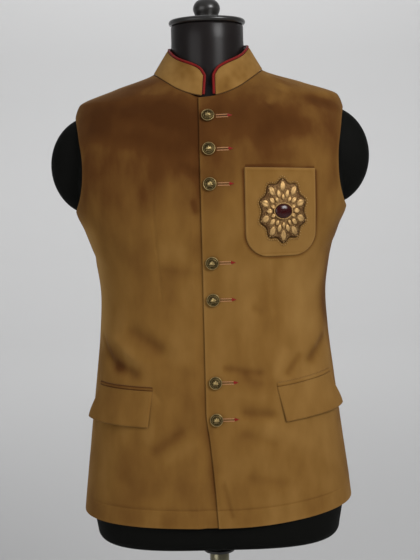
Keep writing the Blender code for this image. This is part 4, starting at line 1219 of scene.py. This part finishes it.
class JACKET_OT_flaps(bpy.types.Operator):
    """Hip pocket flaps, and the narrow jet above each"""

    bl_idname = "jacket.flaps"
    bl_label = "Hip flaps"

    def execute(self, context):
        jacket, _, _ = settings(context)
        finish = velvet_of(jacket)
        thread = bmesh.new()
        for flap in FLAPS:

            def surface(across, down):
                turn, height, lift = flap_place(flap, across, down)
                distance = np.minimum(np.minimum(across, 1 - across) * 0.105, np.minimum(down + 0.02, 1 - down) * 0.055)
                wave = 0.0010 * ease(down) * np.sin(across * 8 + flap.side) * ease(across)
                # The flap's tone: its nap's, evened and lighter, with a little painted light on the wearer's left flap
                tone = 0.6 * velvet_tone_with_painted_light(flap.side * turn, height) + 0.25 + 0.02 * flap.side
                return cloth(flap.side * turn, height, lift + wave - rolled(distance, 0.0012)), tone

            name = "hip_flap_" + flap.name
            piece = grid_piece(
                name + "_cloth", edge_shares(54, 0.105), edge_shares(30, 0.055), surface, finish, "velvet", name,
                turned=flap.side > 0,
            )
            add_wall(piece, TRIM_WALL, outwards=True)

            def jet(across, up):
                turn, height, _ = flap_place(flap, across, 0 * up)
                distance = np.minimum(np.minimum(across, 1 - across) * 0.1, np.minimum(up, 1 - up) * JET_HEIGHT)
                height = height + 2 * GAP + JET_HEIGHT * up
                # Painted shade along the jet's lips, heavier on the wearer's right jet
                painted_lip_shade = np.exp(-up / 0.22) + (0.9 if flap.side < 0 else 0.2) * np.exp((up - 1) / 0.22)
                tone = velvet_tone_with_painted_light(flap.side * turn, height) - (0.75 if flap.side < 0 else 0.35) * painted_lip_shade
                return cloth(flap.side * turn, height, FLAP_GAP - rolled(distance, 0.0009)), tone

            name = "hip_jet_" + flap.name
            piece = grid_piece(
                name + "_cloth", edge_shares(50, 0.1), np.linspace(0, 1, 13), jet, finish, "velvet", name,
                turned=flap.side < 0,
            )
            add_wall(piece, JET_WALL, outwards=True)
            across = np.linspace(0.02, 0.98, 60)
            turn, height, _ = flap_place(flap, across, 0 * across)
            height = height + 2 * GAP + JET_HEIGHT + 0.0016
            path = cloth(flap.side * turn, height)
            stitches(thread, path, outward(flap.side * turn, height), 0.0022, 0.0034, 0.00028)
        finish_piece("flap_stitches", mesh_of(thread, "flap_stitches"), seam_finish(), "velvet")
        return {"FINISHED"}


def seat(turn, height, out):
    """A frame that stands on the cloth: its third axis points out, its second up the cloth."""
    normal = Vector(outward(np.array(turn), np.array(height)))
    side = Vector((0, 0, 1)).cross(normal).normalized()
    matrix = Matrix((side, normal.cross(side), normal)).transposed().to_4x4()
    return Matrix.Translation(Vector(cloth(turn, height, out))) @ matrix


def button_mesh(bm, radius, matrix):
    """A domed button with a rim and a lotus: three tiers of petals over a bar of beads."""
    profile = [(0.0, 1.0), (0.2, 0.99), (0.4, 0.95), (0.6, 0.86), (0.74, 0.76), (0.82, 0.64), (0.85, 0.56)]
    profile += [(0.88, 0.60), (0.93, 0.64), (0.98, 0.58), (1.0, 0.46), (0.99, 0.30), (0.90, 0.16)]
    profile += [(0.78, 0.0), (0.0, 0.0)]
    start = [bm.verts.new((radius * r, 0, BUTTON_RISE * h)) for r, h in profile]
    edges = [bm.edges.new(pair) for pair in zip(start, start[1:])]
    bmesh.ops.spin(
        bm, geom=start + edges, cent=(0, 0, 0), axis=(0, 0, 1), angle=math.tau, steps=36, use_merge=True
    )
    bmesh.ops.remove_doubles(bm, verts=bm.verts, dist=0.00001)
    bmesh.ops.recalc_face_normals(bm, faces=bm.faces)

    def dome_height(flat):
        return np.interp(flat, [r for r, _ in profile[:11]], [h for _, h in profile[:11]])

    def on_dome(u, v, w):
        return Vector((radius * u, radius * v, BUTTON_RISE * dome_height(min(math.hypot(u, v), 0.80)) + w))

    up = Vector((0, 0, 1))
    petals = (0, 0.30, 0.085), (38, 0.27, 0.075), (-38, 0.27, 0.075), (70, 0.25, 0.06), (-70, 0.25, 0.06)
    for tilt, reach, wide in petals:
        way = Vector((math.sin(math.radians(tilt)), math.cos(math.radians(tilt)), 0))
        middle = Vector((0, -0.20, 0)) + way * reach
        spot = on_dome(middle.x, middle.y, 0.0)
        slope = on_dome(middle.x + 0.1 * way.x, middle.y + 0.1 * way.y, 0) - spot
        add_bead(bm, spot, slope, up, (radius * reach * 0.95, radius * wide * 1.5, 0.0007), 12, 8)
    for k in range(7):
        spot = on_dome(-0.36 + 0.12 * k, -0.36, 0.0001)
        add_bead(bm, spot, Vector((1, 0, 0)), up, (0.0006,) * 3, 8, 6)
    for k in range(32):
        angle = k * math.tau / 32
        spot = on_dome(0.70 * math.cos(angle), 0.70 * math.sin(angle), 0.0)
        along = Vector((-math.sin(angle), math.cos(angle), 0))
        add_bead(bm, spot, along, up, (0.0006, 0.00035, 0.0004), 6, 4)
    relief = bm.verts.layers.float.new("relief")
    for vert in bm.verts:
        flat = math.hypot(vert.co.x, vert.co.y) / radius
        rim = 0.5 * math.exp(-(((flat - 0.94) / 0.05) ** 2))
        vert[relief] = 0.10 + rim + (vert.co.z - BUTTON_RISE * dome_height(flat)) / 0.0007
    bmesh.ops.transform(bm, matrix=matrix, verts=bm.verts)


class JACKET_OT_buttons(bpy.types.Operator):
    """Seven domed antique brass buttons"""

    bl_idname = "jacket.buttons"
    bl_label = "Buttons"

    def execute(self, context):
        jacket, _, _ = settings(context)
        finish = material(
            "aged brass", relief_metal, "aged brass", jacket.brass, jacket.brass_hollow, 0.30
        )
        for number, height in enumerate(BUTTON_HEIGHTS, 1):
            bm = bmesh.new()
            turn = float(front_turn(BUTTON_LEAN * (height - BUTTON_LEAN_FROM), np.array(height)))
            matrix = seat(turn, height, BUTTON_GAP) @ Matrix.Rotation(math.radians(7 * (number % 3 - 1)), 4, "Z")
            button_mesh(bm, jacket.button_radius, matrix)
            mesh = mesh_of(bm, f"brass_button_{number}")
            finish_piece(f"brass_button_{number}", mesh, finish, "antique_brass", f"button_{number}")
        return {"FINISHED"}


def hole_places(xs, level, lift, out):
    """Places along a buttonhole, each with the ways ahead, up the cloth and out of it."""
    turns = front_turn(xs, level + 0 * xs)
    spots = cloth(turns, level + lift, out)
    normals = outward(turns, level + 0 * xs)
    ups = skin(turns, level + 0.002) - skin(turns, level - 0.002)
    aheads = np.cross(ups, normals)
    return [[Vector(v) for v in row] for row in zip(spots, aheads, ups, normals)]


class JACKET_OT_buttonholes(bpy.types.Operator):
    """Worked buttonholes in pale thread, each ended by a red arrowhead"""

    bl_idname = "jacket.buttonholes"
    bl_label = "Buttonholes"

    def execute(self, context):
        jacket, _, _ = settings(context)
        pale, red, slit = bmesh.new(), bmesh.new(), bmesh.new()
        for height in BUTTON_HEIGHTS:
            level = height - 0.0006
            for side in (-1, 1):
                row = hole_places(np.arange(0.0105, 0.0285, 0.00085), level, side * 0.00185, 0.0002)
                for spot, _, up, normal in row:
                    add_bead(pale, spot, up, normal, (0.00105, 0.00052, 0.00055), 8, 5)
            for spot, ahead, _, normal in hole_places(np.arange(0.0110, 0.0280, 0.0012), level, 0, -0.0001):
                add_bead(slit, spot, ahead, normal, (0.0009, 0.0005, 0.0003), 6, 4)
            row = hole_places(np.arange(0.0284, 0.0352, 0.0007), level, 0.0003, 0.0003)
            for k, (spot, _, up, normal) in enumerate(row):
                add_bead(red, spot, up, normal, (0.0033 * (1 - k / 10.5), 0.00050, 0.0007), 8, 5)
        ends = (
            ("buttonhole_threads", pale, "hole_thread", jacket.hole_thread, (0.30, 0.13, 0.06)),
            ("buttonhole_tacks", red, "tack_thread", jacket.tack_thread, (0.12, 0.006, 0.004)),
            ("buttonhole_slits", slit, "slit_shade", (0.05, 0.02, 0.008), (0.02, 0.008, 0.003)),
        )
        for name, bm, look, value, shade in ends:
            finish = material(look, thread_material, look, value, shade, 0.6, 0.0, 0.2)
            finish_piece(name, mesh_of(bm, name), finish, "velvet")
        return {"FINISHED"}


def form_points(turn, height):
    """The skin moved in by the clearance, and no nearer the axis than the neck's round."""
    inset = smooth_between(FORM_CLEARANCE, height)
    inner = skin(turn, height) - outward(turn, height) * inset[..., None]
    radius = np.hypot(inner[..., 0], inner[..., 1])
    blended = (radius**NECK_BLEND + oval_radius(turn, *NECK) ** NECK_BLEND) ** (1 / NECK_BLEND)
    low = ease((FORM_FOOT_TOP - height) / (FORM_FOOT_TOP - HEM))
    return place(turn, inner[..., 2], between(blended, oval_radius(turn, *FORM_FOOT), low))


def form_rings(turn):
    """Points of each ring of the form, from the edge of its bottom to its neck's top."""
    rings = []
    radius = oval_radius(turn, *FORM_FOOT) * FORM_FOOT_TAPER
    for a in np.radians([4, 10, 20, 35, 48, 60, 75, 90]):
        height = FORM_BOTTOM + FORM_EDGE_ROUND * (1 - math.cos(a))
        rings.append(place(turn, height, radius - FORM_EDGE_ROUND * (1 - math.sin(a))))
    for height in np.concatenate([np.linspace(0.55, 1.19, 40), np.linspace(1.194, 1.290, 36)]):
        rings.append(form_points(turn, height + 0 * turn))
    neck = oval_radius(turn, *NECK)
    ends = ((NECK_FOOT, 0.0), (NECK_TOP - NECK_EDGE, 0.0), (NECK_TOP - 0.001, 0.001), (NECK_TOP, NECK_EDGE))
    for height, inset in ends:
        rings.append(place(turn, height, neck - inset))
    return np.array(rings)


def turned_piece(name, profile, height, finish, slot, node, steps=72):
    """A profile from its top centre down its outside to its bottom centre, spun about Z."""
    bm = bmesh.new()
    start = [bm.verts.new((radius, 0, height + rise)) for radius, rise in profile]
    edges = [bm.edges.new(pair) for pair in zip(start, start[1:])]
    bmesh.ops.spin(
        bm, geom=start + edges, cent=(0, 0, 0), axis=(0, 0, 1), angle=math.tau, steps=steps, use_merge=True
    )
    bmesh.ops.remove_doubles(bm, verts=bm.verts, dist=0.00001)
    bmesh.ops.recalc_face_normals(bm, faces=bm.faces)
    piece = finish_piece(name, mesh_of(bm, name), finish, slot, node)
    piece.data.set_sharp_from_angle(angle=math.radians(50))
    return piece


def rounded_disc(radius, thickness, edge):
    """Profile of a disc whose rim is round, from its top centre to its bottom centre."""
    rim = []
    for a in np.radians([0, 22, 45, 68, 90]):
        rim.append((radius - edge * (1 - math.sin(a)), thickness - edge * (1 - math.cos(a))))
    for a in np.radians([90, 68, 45, 22, 0]):
        rim.append((radius - edge * (1 - math.sin(a)), edge * (1 - math.cos(a))))
    return [(0.0, thickness)] + rim + [(0.0, 0.0)]


def lacquer_of(form):
    look = "gloss lacquer"
    return material(look, plain_material, look, form.lacquer, 0.34, depth=0.00004, coat=0.3)


class FORM_OT_torso(bpy.types.Operator):
    """Limbless torso with its neck and the rounded caps of its arms"""

    bl_idname = "dress_form.torso"
    bl_label = "Torso"

    def execute(self, context):
        _, form, _ = settings(context)
        count = form.columns
        rings = form_rings(np.arange(count) * math.tau / count)
        bm = bmesh.new()
        bmesh.ops.create_uvsphere(bm, u_segments=count, v_segments=len(rings) + 1, radius=1)
        for vert in bm.verts:
            level = round((math.asin(max(-1, min(1, vert.co.z))) / math.pi + 0.5) * (len(rings) + 1))
            if level in (0, len(rings) + 1):
                vert.co = (0, 0, FORM_BOTTOM if level == 0 else NECK_TOP)
                continue
            column = round(math.atan2(vert.co.x, -vert.co.y) / math.tau * count)
            vert.co = rings[level - 1][column % count]
        torso = bpy.data.objects.new("torso", mesh_of(bm, "torso"))
        bpy.context.scene.collection.objects.link(torso)
        caps = []
        for side in (-1, 1):
            bm = bmesh.new()
            bmesh.ops.create_uvsphere(bm, u_segments=56, v_segments=36, radius=1)
            bmesh.ops.scale(bm, vec=ARM_CAP_SIZE, verts=bm.verts)
            x, y, z = ARM_CAP_CENTRE
            bmesh.ops.translate(bm, vec=(side * x, y, z + SHOULDER_SLANT * side * x), verts=bm.verts)
            cap = bpy.data.objects.new("cap", mesh_of(bm, "cap"))
            bpy.context.scene.collection.objects.link(cap)
            union = torso.modifiers.new("Cap", "BOOLEAN")
            union.operation = "UNION"
            union.object = cap
            caps.append(cap)
        graph = bpy.context.evaluated_depsgraph_get()
        mesh = bpy.data.meshes.new_from_object(torso.evaluated_get(graph))
        for spare in [torso, *caps]:
            bpy.data.objects.remove(spare)
        neck = mesh.attributes.new("neck", "FLOAT", "POINT")
        for vert in mesh.vertices:
            neck.data[vert.index].value = ease((vert.co.z - 1.205) / 0.02)
        finish_piece("form_body", mesh, material("knit cover", cover_material, form), "form_cloth", "form_torso")
        lacquer = lacquer_of(form)
        cap_base = NECK_TOP + GAP
        cap = rounded_disc(CAP_RADIUS, CAP_THICKNESS, 0.0044)
        turned_piece("form_neck_cap", cap, cap_base, lacquer, "black_lacquer", "neck_cap")
        r, h = KNOB_RADIUS, KNOB_HEIGHT
        profile = [(0.0, 1.0), (0.09, 0.997), (0.16, 0.985), (0.23, 0.95), (0.26, 0.90), (0.25, 0.86)]
        profile += [(0.24, 0.82), (0.31, 0.78)]
        profile += [(math.cos(a), 0.40 * (1 + math.sin(a))) for a in np.radians([64, 52, 40, 28, 14, 0, -12, -25])]
        profile += [(0.86, 0.17), (0.84, 0.10), (0.90, 0.07), (0.90, 0.02), (0.82, 0.0), (0.0, 0.0)]
        knob = [(r * share, h * rise) for share, rise in profile]
        turned_piece("form_neck_knob", knob, cap_base + CAP_THICKNESS + GAP, lacquer, "black_lacquer", "neck_knob")
        return {"FINISHED"}


class FORM_OT_stand(bpy.types.Operator):
    """Flange, pole and round base"""

    bl_idname = "dress_form.stand"
    bl_label = "Stand"

    def execute(self, context):
        _, form, _ = settings(context)
        lacquer = lacquer_of(form)
        flange_base = FORM_BOTTOM - GAP - FLANGE_HEIGHT
        ring = rounded_disc(FLANGE_RADIUS, FLANGE_THICKNESS, 0.0012)
        low, high = FLANGE_THICKNESS, FLANGE_HEIGHT - FLANGE_THICKNESS
        plate = [(radius, rise + high) for radius, rise in ring]
        flange = plate[:-1] + [(SOCKET_RADIUS, high), (SOCKET_RADIUS, low)] + ring[1:]
        turned_piece("stand_flange", flange, flange_base, lacquer, "black_lacquer", "form_flange")
        pole_base = BASE_THICKNESS + GAP
        tall = flange_base - GAP - pole_base
        r = POLE_RADIUS
        pole = [(0.0, tall), (r - 0.0006, tall), (r, tall - 0.0006), (r, tall - 0.02), (r, 0.02), (r, 0.0), (0.0, 0.0)]
        look = "brushed pole"
        steel = material(look, plain_material, look, form.pole, 0.28, 1.0, grain=500.0, depth=0.00005, vary=0.12)
        turned_piece("stand_tube", pole, pole_base, steel, "pole_metal", "stand_pole")
        paint = material("base enamel", plain_material, "base enamel", form.paint, 0.42, depth=0.00008)
        base = rounded_disc(BASE_RADIUS, BASE_THICKNESS, 0.004)
        turned_piece("stand_foot", base, 0.0, paint, "base_paint", "stand_base", steps=128)
        return {"FINISHED"}


def add_light(name, power, size, spot, target, tint=(1, 1, 1)):
    lamp = bpy.data.lights.new(name, "AREA")
    lamp.energy = power
    lamp.size = size
    lamp.color = tint
    light = bpy.data.objects.new(name, lamp)
    light.location = spot
    light.rotation_euler = (Vector(target) - Vector(spot)).to_track_quat("-Z", "Y").to_euler()
    bpy.context.scene.collection.objects.link(light)


class STAGE_OT_studio(bpy.types.Operator):
    """Pale floor that turns up into a wall all round, soft lights and the camera"""

    bl_idname = "jacket_stage.studio"
    bl_label = "Stage, lights and camera"

    def execute(self, context):
        _, _, stage = settings(context)
        profile = [(0.0, 0.0), (1.0, 0.0), (2.4, 0.0), (5.0, 0.0)]
        profile += [(5.0 + 2.0 * math.sin(a), 2.0 - 2.0 * math.cos(a)) for a in np.radians(range(10, 91, 10))]
        profile += [(7.0, 4.0), (7.0, 8.0)]
        bm = bmesh.new()
        start = [bm.verts.new((radius, 0, rise)) for radius, rise in profile]
        edges = [bm.edges.new(pair) for pair in zip(start, start[1:])]
        bmesh.ops.spin(bm, geom=start + edges, cent=(0, 0, 0), axis=(0, 0, 1), angle=math.tau, steps=96, use_merge=True)
        bmesh.ops.remove_doubles(bm, verts=bm.verts, dist=0.0001)
        floor = bpy.data.objects.new("backdrop", mesh_of(bm, "backdrop"))
        floor.data.shade_smooth()
        floor.data.materials.append(material("backdrop", backdrop_material, stage))
        context.scene.collection.objects.link(floor)
        world = bpy.data.worlds.new("studio")
        world.use_nodes = True
        world.node_tree.nodes["Background"].inputs["Color"].default_value = (0.97, 0.98, 1.0, 1)
        world.node_tree.nodes["Background"].inputs["Strength"].default_value = 0.45
        context.scene.world = world
        add_light("key", stage.key, 1.1, (1.5, -2.0, 2.2), (0.0, 0.0, 0.95))
        add_light("fill", stage.fill, 2.0, (-1.9, -2.2, 1.3), (0.0, 0.0, 0.9))
        add_light("backdrop_light", stage.fill * 10.5, 3.0, (0.0, 3.4, 5.4), (0.0, 6.6, 2.4))
        tilt, roll = math.radians(CAMERA_TILT), math.radians(CAMERA_ROLL)
        right = Vector((1, 0, 0))
        up = Vector((0, math.sin(tilt), math.cos(tilt)))
        ahead = Vector((0, math.cos(tilt), -math.sin(tilt)))
        turned_right = right * math.cos(roll) - up * math.sin(roll)
        turned_up = right * math.sin(roll) + up * math.cos(roll)
        lens = bpy.data.cameras.new("camera")
        lens.sensor_fit = "VERTICAL"
        lens.sensor_height = 36
        lens.lens = stage.lens
        camera = bpy.data.objects.new("camera", lens)
        matrix = Matrix((turned_right, turned_up, -ahead)).transposed().to_4x4()
        camera.matrix_world = Matrix.Translation((-0.005, -stage.distance, stage.camera_height)) @ matrix
        context.scene.collection.objects.link(camera)
        context.scene.camera = camera
        context.scene.view_settings.view_transform = "Standard"
        return {"FINISHED"}


OPERATORS = (
    JACKET_OT_panels,
    JACKET_OT_collar,
    JACKET_OT_chest_pocket,
    JACKET_OT_ornament,
    JACKET_OT_flaps,
    JACKET_OT_buttons,
    JACKET_OT_buttonholes,
    FORM_OT_torso,
    FORM_OT_stand,
    STAGE_OT_studio,
)


class VIEW3D_PT_nehru_jacket(bpy.types.Panel):
    """Lists the pieces of the jacket, the form and the stage"""

    bl_label = "Nehru jacket"
    bl_idname = "VIEW3D_PT_nehru_jacket"
    bl_space_type = "VIEW_3D"
    bl_region_type = "UI"
    bl_category = "Jacket"

    def draw(self, context):
        for operator in OPERATORS:
            self.layout.operator(operator.bl_idname)


CLASSES = (JacketSettings, FormSettings, StageSettings, *OPERATORS, VIEW3D_PT_nehru_jacket)


def register():
    for cls in CLASSES:
        bpy.utils.register_class(cls)
    bpy.types.Scene.nehru_jacket = PointerProperty(type=JacketSettings)
    bpy.types.Scene.dress_form = PointerProperty(type=FormSettings)
    bpy.types.Scene.jacket_stage = PointerProperty(type=StageSettings)


def unregister():
    del bpy.types.Scene.jacket_stage, bpy.types.Scene.dress_form, bpy.types.Scene.nehru_jacket
    for cls in reversed(CLASSES):
        bpy.utils.unregister_class(cls)


def main():
    register()
    for operator in OPERATORS:
        group, name = operator.bl_idname.split(".")
        getattr(getattr(bpy.ops, group), name)()


if __name__ == "__main__":
    main()
